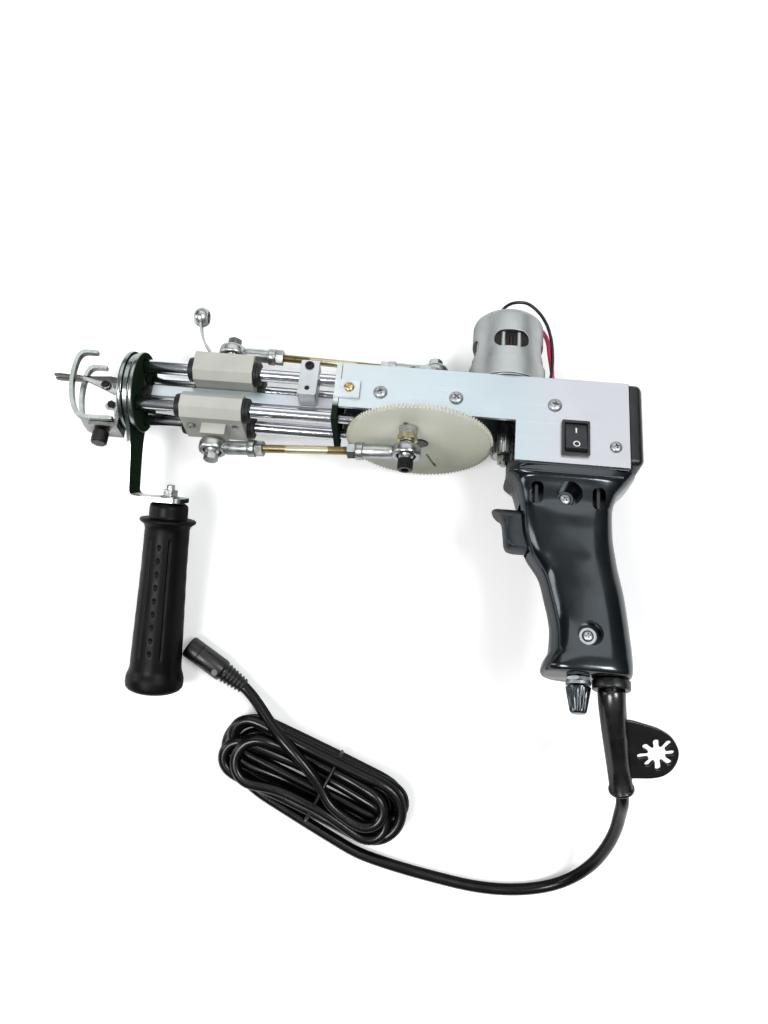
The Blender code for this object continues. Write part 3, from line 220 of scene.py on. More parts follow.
def build_materials():
    # sheet aluminium, brushed along the barrel, with faint handling marks
    s = define("aluminium", Shader("aluminium_brushed", (0.80, 0.82, 0.84), 0.34, 0.74))
    s.soften(0.35)
    brushed = s.noise(1.0, 4.0, 0.6, (25, 1400, 1400))
    cloud = s.noise(26.0, 3.0, 0.6)
    # painted light: the base colour runs along x, lighter and bluer towards the needle end and greyer towards the rear;
    # the cloud noise adds the handling marks
    place = s.math('ADD', s.along('X'), s.math('MULTIPLY', s.math('SUBTRACT', cloud, 0.5), 0.16))
    s.base(place, [(0.0, (0.60, 0.66, 0.68)), (0.30, (0.54, 0.62, 0.65)), (0.58, (0.50, 0.58, 0.61)), (0.80, (0.57, 0.57, 0.61)),
                   (1.0, (0.55, 0.55, 0.59))])
    # painted shade: the base colour is darker where the surface faces sideways
    s.painted_side_shade(0.45)
    s.rough(s.math('ADD', s.math('MULTIPLY', brushed, 0.6), s.math('MULTIPLY', cloud, 0.4)), 0.24, 0.44)
    s.bump(brushed, 0.06, 0.04)

    # the front end plate, with painted shade: dark green low down, in the shade of the gear below, and dark green on
    # faces turned towards +x, standing in for the dark surroundings they mirror
    s = define("end_plate", Shader("aluminium_end_plate", (0.60, 0.64, 0.66), 0.30, 1.0))
    s.soften(0.3)
    s.base(s.noise(60.0), [(0.3, (0.56, 0.61, 0.63)), (0.7, (0.66, 0.70, 0.72))])
    low = s.spread(s.along('Y'), 1.0, 0.0, 0.44, 0.52)
    turned_away = s.spread(s.along('X', 'Normal'), 0.0, 1.0, 0.45, 0.75)
    s.overlaid(s.math('MAXIMUM', low, turned_away), (0.012, 0.020, 0.014))
    s.rough(s.noise(140.0), 0.24, 0.40)

    # machined aluminium blocks
    s = define("machined", Shader("aluminium_machined", (0.70, 0.72, 0.73), 0.36, 0.80))
    s.soften(0.4)
    cut = s.noise(1.0, 3.0, 0.6, (1800, 60, 60))
    s.base(s.noise(60.0), [(0.3, (0.50, 0.53, 0.55)), (0.7, (0.64, 0.67, 0.69))])
    # painted shade: the base colour is darker where the surface faces sideways
    s.painted_side_shade(0.45)
    s.rough(cut, 0.26, 0.46)
    s.bump(cut, 0.12, 0.05)

    # bright chrome on tubes and pressed parts, slightly clouded by handling
    s = define("chrome", Shader("chrome_polished", (0.82, 0.83, 0.84), 0.10, 1.0))
    s.soften(0.25)
    smudge = s.noise(70.0, 4.0, 0.65)
    s.base(smudge, [(0.3, (0.50, 0.51, 0.52)), (0.65, (0.62, 0.63, 0.64))])
    # painted shade: the base colour is darker where the surface faces sideways
    s.painted_side_shade(0.22)
    s.rough(smudge, 0.10, 0.24)
    s.bump(s.noise(340.0, 2.0), 0.03, 0.06)

    # nose plates and handle bracket: painted reflection, a dark greenish grey base, darker still on sideways faces and
    # dark green on faces turned towards +x, standing in for the dark green surroundings they mirror; the blotches are
    # handling smudges
    s = define("bracket", Shader("chrome_smudged_painted_reflection", (0.46, 0.50, 0.48), 0.18, 1.0))
    smudge = s.noise(55.0, 4.0, 0.65)
    s.base(smudge, [(0.3, (0.25, 0.28, 0.265)), (0.65, (0.37, 0.405, 0.39))])
    s.painted_side_shade(0.16, 0.0, 0.6)
    s.overlaid(s.spread(s.along('X', 'Normal'), 0.0, 1.0, 0.45, 0.75), (0.010, 0.019, 0.011))
    s.rough(smudge, 0.16, 0.32)
    s.bump(s.noise(300.0, 2.0), 0.03, 0.06)

    # blades and needle: hardened steel, dark; the blade gets painted shade, darker on its faces that turn sideways than
    # on its upper faces
    s = define("blade", Shader("steel_blade", (0.20, 0.20, 0.20), 0.24, 1.0))
    s.base(s.noise(70.0, 3.0, 0.5, (1, 6, 6)), [(0.3, (0.36, 0.36, 0.36)), (0.7, (0.52, 0.52, 0.52))])
    s.painted_side_shade(0.20, 0.2, 0.9)
    s.rough(s.noise(200.0), 0.18, 0.34)
    s = define("needle_steel", Shader("steel_needle", (0.12, 0.12, 0.11), 0.28, 1.0))
    s.base(s.noise(90.0, 3.0, 0.5, (1, 6, 6)), [(0.3, (0.055, 0.050, 0.046)), (0.7, (0.12, 0.11, 0.10))])
    s.rough(s.noise(200.0), 0.22, 0.38)

    s = define("foot_steel", Shader("steel_foot", (0.54, 0.57, 0.55), 0.26, 1.0))
    s.base(s.noise(70.0), [(0.3, (0.44, 0.48, 0.45)), (0.7, (0.60, 0.63, 0.61))])
    # painted shade: the base colour is darker where the surface faces sideways
    s.painted_side_shade(0.14, 0.15, 0.75)
    s.rough(s.noise(160.0), 0.20, 0.38)

    # ground steel guide rods
    s = define("ground", Shader("steel_ground", (0.80, 0.81, 0.82), 0.14, 1.0))
    s.soften(0.2)
    rings = s.noise(1.0, 2.0, 0.5, (2600, 40, 40))
    s.base(s.noise(45.0), [(0.3, (0.56, 0.58, 0.61)), (0.7, (0.70, 0.71, 0.75))])
    # painted shade: the base colour is darker where the surface faces sideways
    s.painted_side_shade(0.26, -0.1, 0.5)
    s.rough(rings, 0.10, 0.22)
    s.bump(rings, 0.05, 0.03)

    # zinc plated steel, a little yellow and blotchy
    s = define("zinc", Shader("steel_zinc_plated", (0.60, 0.60, 0.58), 0.26, 1.0))
    s.soften(0.25)
    blotch = s.noise(140.0, 4.0, 0.6)
    s.base(blotch, [(0.3, (0.36, 0.38, 0.36)), (0.55, (0.52, 0.54, 0.53)), (0.75, (0.64, 0.65, 0.64))])
    # painted shade: the base colour is darker where the surface faces sideways
    s.painted_side_shade(0.12, 0.0, 0.55)
    s.rough(blotch, 0.24, 0.42)
    s.bump(s.noise(900.0, 2.0), 0.08, 0.05)

    s = define("zinc_yellow", Shader("steel_yellow_zinc", (0.56, 0.47, 0.26), 0.28, 1.0))
    s.soften(0.25)
    blotch = s.noise(160.0, 4.0, 0.6)
    s.base(blotch, [(0.3, (0.40, 0.33, 0.18)), (0.7, (0.66, 0.57, 0.36))])
    s.rough(blotch, 0.20, 0.38)

    # drawn brass rod, threaded at its ends
    s = define("brass", Shader("brass_drawn", (0.72, 0.53, 0.26), 0.28, 1.0))
    tarnish = s.noise(90.0, 4.0, 0.6, (0.3, 1, 1))
    s.base(s.along('X'), [(0.0, (0.38, 0.32, 0.17)), (0.29, (0.42, 0.35, 0.18)), (0.31, (0.66, 0.61, 0.42)),
                          (0.70, (0.68, 0.63, 0.44)), (0.73, (0.40, 0.33, 0.17)), (1.0, (0.36, 0.28, 0.13))])
    s.scaled(s.spread(tarnish, 0.75, 1.12))
    # painted shade: the base colour is darker where the surface faces sideways
    s.painted_side_shade(0.25, 0.0, 0.6)
    s.rough(tarnish, 0.24, 0.42)
    s.bump(s.wave(450.0, 'X'), 0.35, 0.12)

    s = define("brass_plain", Shader("brass_screw", (0.72, 0.56, 0.28), 0.26, 1.0))
    s.soften(0.2)
    s.base(s.noise(200.0), [(0.3, (0.52, 0.38, 0.16)), (0.7, (0.80, 0.65, 0.36))])
    s.rough(s.noise(120.0), 0.20, 0.36)

    s = define("black_steel", Shader("steel_black_oxide", (0.030, 0.030, 0.032), 0.34, 0.75))
    s.soften(0.25)
    s.base(s.noise(160.0), [(0.3, (0.008, 0.008, 0.009)), (0.75, (0.03, 0.03, 0.032))])
    s.rough(s.noise(260.0), 0.26, 0.44)

    s = define("dark_steel", Shader("steel_dark", (0.20, 0.20, 0.20), 0.30, 1.0))
    s.soften(0.2)
    s.base(s.noise(120.0), [(0.3, (0.10, 0.10, 0.10)), (0.7, (0.30, 0.30, 0.29))])
    s.rough(s.noise(200.0), 0.22, 0.40)

    s = define("pinion_steel", Shader("steel_pinion", (0.45, 0.45, 0.45), 0.26, 1.0))
    s.base(s.noise(120.0), [(0.3, (0.30, 0.30, 0.30)), (0.7, (0.48, 0.48, 0.47))])
    s.rough(s.noise(200.0), 0.20, 0.36)

    # rolled steel of the motor, satin with fine grain
    s = define("motor_steel", Shader("steel_motor_satin", (0.56, 0.57, 0.57), 0.42, 1.0))
    s.soften(0.4)
    grain = s.noise(700.0, 3.0, 0.6)
    s.base(s.noise(40.0, 4.0), [(0.3, (0.48, 0.50, 0.50)), (0.7, (0.57, 0.59, 0.59))])
    # painted shade: the base colour is darker where the surface faces sideways
    s.painted_side_shade(0.18, 0.1, 0.8)
    s.rough(s.noise(120.0, 4.0), 0.38, 0.54)
    s.bump(grain, 0.10, 0.05)

    # moulded nylon: ivory for the gear, cream for the sliding blocks
    s = define("ivory_nylon", Shader("nylon_ivory", (0.62, 0.61, 0.47), 0.42, 0.0, Subsurface_Weight=0.12,
                                     Subsurface_Scale=0.002))
    s.b.inputs['Subsurface Radius'].default_value = (1.0, 0.9, 0.6)
    s.soften(0.2)
    # painted shade: the gear's colour runs from dark at its bottom to light at its top, with random tone over it
    place = s.math('ADD', s.math('MULTIPLY', s.along('Z'), GEAR_SHADE), s.math('MULTIPLY', s.noise(26.0, 3.0), 0.5))
    s.base(s.math('ADD', place, GEAR_BASE), [(0.15, (0.20, 0.21, 0.155)), (0.45, (0.42, 0.43, 0.335)), (0.65, (0.52, 0.53, 0.435)),
                                             (0.9, (0.66, 0.67, 0.59))])
    s.rough(s.noise(90.0, 3.0), 0.34, 0.52)
    s.bump(s.noise(420.0, 3.0), 0.10, 0.08)

    s = define("cream_nylon", Shader("nylon_cream", (0.66, 0.65, 0.57), 0.46, 0.0, Subsurface_Weight=0.12,
                                     Subsurface_Scale=0.002))
    s.b.inputs['Subsurface Radius'].default_value = (1.0, 0.9, 0.6)
    s.soften(0.7)
    s.base(s.noise(36.0, 4.0), [(0.3, (0.41, 0.415, 0.375)), (0.6, (0.48, 0.485, 0.44)), (0.8, (0.54, 0.545, 0.50))])
    # painted shade: the blocks are coloured darker on faces that turn down or sideways
    s.scaled(s.spread(s.along('Z', 'Normal'), 0.42, 1.0, -0.2, 0.8))
    s.rough(s.noise(110.0, 3.0), 0.38, 0.56)
    milled = s.noise(1.0, 3.0, 0.6, (90, 900, 900))
    s.bump(milled, 0.12, 0.08)

    # injection moulded glossy black; its bluish specular tint, and its reflection and coat that fade where it faces
    # sideways, are painted reflection
    s = define("gloss_black", Shader("plastic_gloss_black", (0.006, 0.006, 0.008), 0.16, 0.0,
                                     Coat_Roughness=0.06, Specular_Tint=(0.80, 0.92, 1.0, 1.0)))
    flow = s.noise(18.0, 4.0, 0.6)
    s.base(flow, [(0.3, (0.0015, 0.0015, 0.0022)), (0.7, (0.0035, 0.0035, 0.005))])
    s.painted_side_dimming(0.05, 0.85, 0.15, 0.85)
    s.link(s.spread(s.along('Z', 'Normal'), 0.0, 0.35, 0.2, 0.8), s.b.inputs['Coat Weight'])
    s.rough(s.noise(60.0, 5.0, 0.65), 0.12, 0.27)
    s.bump(s.noise(55.0, 2.0), 0.10, 0.25)

    s = define("black_plastic", Shader("plastic_black_satin", (0.012, 0.012, 0.013), 0.36))
    s.soften(0.35)
    s.base(s.noise(60.0), [(0.3, (0.002, 0.002, 0.0024)), (0.7, (0.005, 0.005, 0.0055))])
    # painted shade: reflection turned down on faces that turn sideways
    s.painted_side_dimming(0.06, 0.55)
    s.rough(s.noise(140.0, 4.0), 0.28, 0.44)
    s.bump(s.noise(1100.0, 2.0), 0.12, 0.05)

    s = define("grey_plastic", Shader("plastic_grey", (0.050, 0.058, 0.066), 0.36))
    s.soften(0.6)
    s.base(s.noise(60.0), [(0.3, (0.004, 0.007, 0.009)), (0.7, (0.008, 0.013, 0.017))])
    # painted shade: reflection turned down on faces that turn sideways
    s.painted_side_dimming(0.08, 0.60, 0.1, 0.8)
    s.rough(s.noise(160.0, 4.0), 0.28, 0.44)
    s.bump(s.noise(1000.0, 2.0), 0.10, 0.05)

    s = define("switch_grey", Shader("plastic_switch", (0.028, 0.029, 0.031), 0.34))
    s.soften(0.3)
    s.base(s.noise(90.0), [(0.3, (0.010, 0.0105, 0.012)), (0.7, (0.018, 0.019, 0.021))])
    s.rough(s.noise(200.0), 0.26, 0.42)

    # satin rubber of the side handle, with the fine grain of a moulded grip
    s = define("handle_rubber", Shader("rubber_satin", (0.012, 0.011, 0.012), 0.42, 0.0, IOR=1.28))
    s.base(s.noise(40.0, 4.0), [(0.3, (0.002, 0.0018, 0.002)), (0.7, (0.005, 0.0043, 0.0047))])
    # painted shade: reflection turned down on faces that turn sideways
    s.painted_side_dimming(0.04, 0.38, 0.2, 0.98)
    s.rough(s.noise(90.0, 4.0), 0.32, 0.50)
    s.bump(s.noise(1300.0, 3.0), 0.22, 0.06)

    s = define("black_rubber", Shader("rubber_matte", (0.010, 0.010, 0.010), 0.55))
    s.soften(0.3)
    s.base(s.noise(60.0), [(0.3, (0.003, 0.003, 0.003)), (0.7, (0.007, 0.0065, 0.0065))])
    # painted shade: reflection turned down on faces that turn sideways
    s.painted_side_dimming(0.06, 0.50)
    s.rough(s.noise(160.0, 4.0), 0.42, 0.62)
    s.bump(s.noise(1200.0, 2.0), 0.15, 0.05)

    s = define("sleeve_rubber", Shader("rubber_sleeve", (0.012, 0.011, 0.011), 0.26, 0.0))
    s.soften(0.3)
    s.base(s.noise(60.0), [(0.3, (0.0025, 0.0022, 0.0022)), (0.7, (0.005, 0.0043, 0.0043))])
    # painted shade: reflection turned down on faces that turn sideways
    s.painted_side_dimming(0.05, 0.95, 0.2, 0.95)
    s.rough(s.noise(120.0, 4.0), 0.18, 0.34)
    s.bump(s.noise(380.0, 3.0), 0.14, 0.10)

    # shiny jacket of the cord
    s = define("cord", Shader("cord_jacket", (0.008, 0.008, 0.008), 0.26, 0.0, IOR=1.30))
    s.base(s.noise(50.0), [(0.3, (0.0015, 0.0015, 0.0015)), (0.7, (0.0035, 0.0035, 0.0035))])
    # painted shade: reflection turned down on faces that turn sideways
    s.painted_side_dimming(0.04, 0.95, 0.35, 0.98)
    s.rough(s.noise(75.0, 4.0), 0.16, 0.30)
    s.bump(s.noise(160.0, 3.0), 0.16, 0.18)

    s = define("wire_red", Shader("wire_red", (0.60, 0.02, 0.06), 0.32))
    s.base(s.noise(300.0), [(0.3, (0.80, 0.02, 0.10)), (0.7, (0.92, 0.05, 0.15))])
    s.rough(s.noise(150.0), 0.24, 0.42)
    s = define("wire_black", Shader("wire_black", (0.010, 0.010, 0.010), 0.30))
    s.base(s.noise(300.0), [(0.3, (0.003, 0.003, 0.003)), (0.7, (0.008, 0.008, 0.008))])
    s.rough(s.noise(150.0), 0.24, 0.42)

    # nickel plated screws
    s = define("nickel", Shader("nickel_plated", (0.66, 0.67, 0.68), 0.20, 1.0))
    s.soften(0.12)
    s.base(s.noise(240.0), [(0.3, (0.40, 0.42, 0.44)), (0.7, (0.54, 0.56, 0.58))])
    # painted shade: the base colour is darker where the surface faces sideways
    s.painted_side_shade(0.30, 0.2, 0.7)
    s.rough(s.noise(300.0), 0.34, 0.50)

    s = define("white_ink", Shader("marking_white", (0.72, 0.72, 0.70), 0.5))
    s.rough(s.noise(400.0), 0.40, 0.60)
    s = define("light_grey", Shader("plastic_light_grey", (0.20, 0.20, 0.21), 0.42))
    s.base(s.noise(300.0), [(0.3, (0.15, 0.15, 0.16)), (0.7, (0.25, 0.25, 0.26))])
    # copper windings: the bands are the turns of wire; their near-black tone is painted shade inside the motor can
    s = define("copper", Shader("winding_copper", (0.16, 0.06, 0.03), 0.40, 0.6))
    s.base(s.wave(500.0, 'Y'), [(0.2, (0.012, 0.008, 0.006)), (0.8, (0.05, 0.03, 0.02))])
    # painted shadow: near-black for sheets put inside the motor vents where there is only shade
    s = define("painted_vent_shadow", Shader("shadow_black", (0.004, 0.004, 0.004), 0.7))
    s.rough(s.noise(200.0), 0.6, 0.8)


build_materials()

NODE_MATERIAL = {
    "aluminium": "housing_channel center_bar",
    "end_plate": "front_plate",
    "machined": "bearing_block clamp_block",
    "bracket": "nose_plate_front nose_plate_rear handle_bracket",
    "foot_steel": "presser_foot",
    "blade": "scissor_blade_moving",
    "needle_steel": "needle",
    "ground": "guide_rod_upper_near guide_rod_upper_far guide_rod_lower_near guide_rod_lower_far",
    "zinc": "yarn_guide upper_crank crank_spacer upper_crank_bolt lower_block_bolt upper_block_bolt "
            "lower_rod_end_front lower_rod_end_rear upper_rod_end_front upper_rod_end_rear",
    "brass": "lower_rod upper_rod",
    "black_steel": "lower_crank_bolt drive_shaft",
    "dark_steel": "lower_bearing upper_bearing scissor_blade_fixed foot_clamp",
    "pinion_steel": "motor_pinion",
    "motor_steel": "motor_can motor_flux_ring",
    "ivory_nylon": "drive_gear",
    "cream_nylon": "lower_block upper_block",
    "gloss_black": "grip_half_left grip_half_right",
    "black_plastic": "rear_cover foot_knob speed_knob cord_gland cord_connector",
    "switch_grey": "rocker_switch_case rocker",
    "grey_plastic": "trigger",
    "black_rubber": "lower_bushing_near lower_bushing_far upper_bushing_near upper_bushing_far",
    "handle_rubber": "front_handle",
    "sleeve_rubber": "cord_guard",
    "cord": "cord_lead cord_tail cord_hank",
    "wire_black": "motor_wire_black",
    "wire_red": "motor_wire_red",
}
for key, names in NODE_MATERIAL.items():
    for name in names.split():
        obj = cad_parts[name]
        for index in range(max(1, len(obj.material_slots))):
            if index < len(obj.material_slots):
                obj.material_slots[index].material = MAT[key]
            else:
                obj.data.materials.append(MAT[key])

# ---------------------------------------------------------------------------
# camera
# ---------------------------------------------------------------------------
cam_data = bpy.data.cameras.new("camera")
cam_data.lens = 28.49
cam_data.sensor_width = 36.0
cam_data.sensor_fit = 'AUTO'
cam_data.clip_start = 0.01
cam_data.clip_end = 50.0
camera = bpy.data.objects.new("camera", cam_data)
COLL.objects.link(camera)
view = (Matrix.Rotation(-ROLL, 4, 'X') @ Matrix.Rotation(math.radians(2.49), 4, 'Y')
        @ Matrix.Rotation(math.radians(22.45), 4, 'X') @ Matrix.Rotation(math.radians(5.64), 4, 'Z'))
camera.matrix_world = Matrix.Translation((0.03943, -0.02330, 0.50873)) @ view
bpy.context.scene.camera = camera


# ---------------------------------------------------------------------------
# shape makers
# ---------------------------------------------------------------------------
def basis(direction):
    d = Vector(direction).normalized()
    ref = Vector((0, 0, 1)) if abs(d.z) < 0.9 else Vector((1, 0, 0))
    u = ref.cross(d).normalized()
    v = d.cross(u).normalized()
    return d, u, v


def turned(origin, direction, profile, n=48, ring=False, phase=0.0, wobble=None):
    """Solid of revolution from (distance, radius) pairs; wobble(angle, s) scales the radius."""
    d, u, v = basis(direction)
    o = Vector(origin)
    verts, faces, rows = [], [], []
    for s, r in profile:
        if r < 1e-6:
            rows.append([len(verts)])
            verts.append(tuple(o + d * s))
        else:
            row = []
            for k in range(n):
                a = 2 * math.pi * k / n + phase
                rr = r * (wobble(a, s) if wobble else 1.0)
                row.append(len(verts))
                verts.append(tuple(o + d * s + u * (rr * math.cos(a)) + v * (rr * math.sin(a))))
            rows.append(row)
    pairs = list(zip(rows[:-1], rows[1:]))
    if ring:
        pairs.append((rows[-1], rows[0]))
    for a, b in pairs:
        for k in range(n):
            k2 = (k + 1) % n
            if len(a) == 1 and len(b) > 1:
                faces.append((a[0], b[k2], b[k]))
            elif len(b) == 1 and len(a) > 1:
                faces.append((a[k], a[k2], b[0]))
            elif len(a) > 1:
                faces.append((a[k], a[k2], b[k2], b[k]))
    if not ring:
        if len(rows[0]) > 1:
            faces.append(tuple(reversed(rows[0])))
        if len(rows[-1]) > 1:
            faces.append(tuple(rows[-1]))
    return verts, faces


def prism(outline, plane, lo, hi):
    def place(p, t):
        return {'xy': (p[0], p[1], t), 'yz': (t, p[0], p[1]), 'xz': (p[0], t, p[1])}[plane]
    n = len(outline)
    verts = [place(p, lo) for p in outline] + [place(p, hi) for p in outline]
    faces = [tuple(range(n - 1, -1, -1)), tuple(range(n, 2 * n))]
    for k in range(n):
        k2 = (k + 1) % n
        faces.append((k, k2, n + k2, n + k))
    return verts, faces


def block(x0, x1, y0, y1, z0, z1):
    return prism([(x0, y0), (x1, y0), (x1, y1), (x0, y1)], 'xy', z0, z1)


def rounded(x0, x1, y0, y1, r, n=6):
    pts = []
    for cx, cy, a0 in ((x1 - r, y0 + r, -90), (x1 - r, y1 - r, 0), (x0 + r, y1 - r, 90), (x0 + r, y0 + r, 180)):
        for k in range(n + 1):
            a = math.radians(a0 + 90.0 * k / n)
            pts.append((cx + r * math.cos(a), cy + r * math.sin(a)))
    return pts


def raw(name, verts, faces, scale=MM, matrix=None):
    place = MACHINE if matrix is None else matrix
    mesh = bpy.data.meshes.new(name)
    mesh.from_pydata([tuple(place @ (Vector(v) * scale)) for v in verts], [], faces)
    bm = bmesh.new()
    bm.from_mesh(mesh)
    bmesh.ops.remove_doubles(bm, verts=bm.verts, dist=1e-7)
    bmesh.ops.recalc_face_normals(bm, faces=bm.faces)
    bm.to_mesh(mesh)
    bm.free()
    obj = bpy.data.objects.new(name, mesh)
    COLL.objects.link(obj)
    return obj


def cut(obj, *tools, operation='DIFFERENCE'):
    """Applies exact Booleans with the tools, then removes them."""
    for tool in tools:
        mod = obj.modifiers.new("cut", 'BOOLEAN')
        mod.operation = operation
        mod.solver = 'EXACT'
        mod.object = tool
    bpy.context.view_layer.update()
    deps = bpy.context.evaluated_depsgraph_get()
    mesh = bpy.data.meshes.new_from_object(obj.evaluated_get(deps))
    obj.modifiers.clear()
    old = obj.data
    obj.data = mesh
    bpy.data.meshes.remove(old)
    for tool in tools:
        data = tool.data
        bpy.data.objects.remove(tool, do_unlink=True)
        bpy.data.meshes.remove(data)
    return obj


def finish(obj, body, mat, smooth=32.0, bevel=0.0, segments=2):
    obj.data.materials.clear()
    obj.data.materials.append(MAT[mat])
    if obj.type == 'MESH':
        obj.data.shade_smooth()
        obj.data.set_sharp_from_angle(angle=math.radians(smooth))
        if bevel > 0:
            mod = obj.modifiers.new("edge", 'BEVEL')
            mod.width = bevel * MM
            mod.segments = segments
            mod.limit_method = 'ANGLE'
            mod.angle_limit = math.radians(35)
            mod.harden_normals = True
    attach(obj, body)
    return obj


def piece(name, shape, body, mat, smooth=32.0, bevel=0.0, table=False):
    if table:
        obj = raw(name, *shape, matrix=Matrix.Translation((OFFSET_X * MM, OFFSET_Y * MM, 0)))
    else:
        obj = raw(name, *shape)
    return finish(obj, body, mat, smooth, bevel)


def stand(node, name, shape, body, mat, smooth=32.0, bevel=0.0, cuts=(), joins=(), clip=(), segments=2):
    """A finer piece in the place of a CAD node."""
    obj = raw(name, *shape)
    for shapes, operation in ((joins, 'UNION'), (cuts, 'DIFFERENCE'), (clip, 'INTERSECT')):
        if shapes:
            cut(obj, *[raw("tool_%d" % i, *t) for i, t in enumerate(shapes)], operation=operation)
    finish(obj, body, mat, smooth, bevel, segments)
    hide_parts(node)
    return obj


def smooth_curve(points, spacing):
    pts = [Vector(p) for p in points]
    pts = [pts[0] * 2 - pts[1]] + pts + [pts[-1] * 2 - pts[-2]]
    fine = []
    for i in range(1, len(pts) - 2):
        p0, p1, p2, p3 = pts[i - 1:i + 3]
        t0 = 0.0
        t1 = t0 + max((p1 - p0).length, 1e-9) ** 0.5
        t2 = t1 + max((p2 - p1).length, 1e-9) ** 0.5
        t3 = t2 + max((p3 - p2).length, 1e-9) ** 0.5
        for k in range(24):
            t = t1 + (t2 - t1) * k / 24.0
            a1 = p0 * ((t1 - t) / (t1 - t0)) + p1 * ((t - t0) / (t1 - t0))
            a2 = p1 * ((t2 - t) / (t2 - t1)) + p2 * ((t - t1) / (t2 - t1))
            a3 = p2 * ((t3 - t) / (t3 - t2)) + p3 * ((t - t2) / (t3 - t2))
            b1 = a1 * ((t2 - t) / (t2 - t0)) + a2 * ((t - t0) / (t2 - t0))
            b2 = a2 * ((t3 - t) / (t3 - t1)) + a3 * ((t - t1) / (t3 - t1))
            fine.append(b1 * ((t2 - t) / (t2 - t1)) + b2 * ((t - t1) / (t2 - t1)))
    fine.append(pts[-2])
    total = sum((b - a).length for a, b in zip(fine[:-1], fine[1:]))
    count = max(3, int(round(total / spacing)))
    out, want, run = [fine[0]], total / count, 0.0
    for a, b in zip(fine[:-1], fine[1:]):
        seg = (b - a).length
        while run + seg >= want * len(out) - 1e-9 and len(out) < count:
            f = (want * len(out) - run) / seg
            out.append(a + (b - a) * f)
        run += seg
    out.append(fine[-1])
    return out


def relaxed(points, rounds):
    """Smooths a dense line a little, its ends held."""
    pts = np.array([tuple(p) for p in points])
    for _ in range(rounds):
        pts[1:-1] = 0.25 * pts[:-2] + 0.5 * pts[1:-1] + 0.25 * pts[2:]
    return [Vector(p) for p in pts]


def tube(name, points, radius_m, closed=False, resolution=6):
    data = bpy.data.curves.new(name, 'CURVE')
    data.dimensions = '3D'
    data.bevel_depth = radius_m
    data.bevel_resolution = resolution
    data.use_fill_caps = not closed
    spline = data.splines.new('POLY')
    spline.points.add(len(points) - 1)
    for sp, p in zip(spline.points, points):
        sp.co = (*p, 1.0)
    spline.use_cyclic_u = closed
    spline.use_smooth = True
    obj = bpy.data.objects.new(name, data)
    COLL.objects.link(obj)
    return obj


# ---------------------------------------------------------------------------
# the cord: lead, hank of six turns, tail and connector
# ---------------------------------------------------------------------------
CORD_D = 6.8
HANK_CENTRE = (-0.6, -222.5)
HANK_ANGLE = math.radians(-20.5)
SLEEVE_A = Vector((154.6, -153.6, 0.0))
SLEEVE_B = Vector((168.9, -197.7, -40.0))
sleeve_dir = (SLEEVE_B - SLEEVE_A).normalized()
droop_dir = (SLEEVE_B - Vector((153.9, -157.4, 0.0))).normalized()
FLOOR_R = CORD_D / 2 + 0.1


def hank_point(a, b, h):
    c, s = math.cos(HANK_ANGLE), math.sin(HANK_ANGLE)
    return (HANK_CENTRE[0] + a * c - b * s, HANK_CENTRE[1] + a * s + b * c, h)


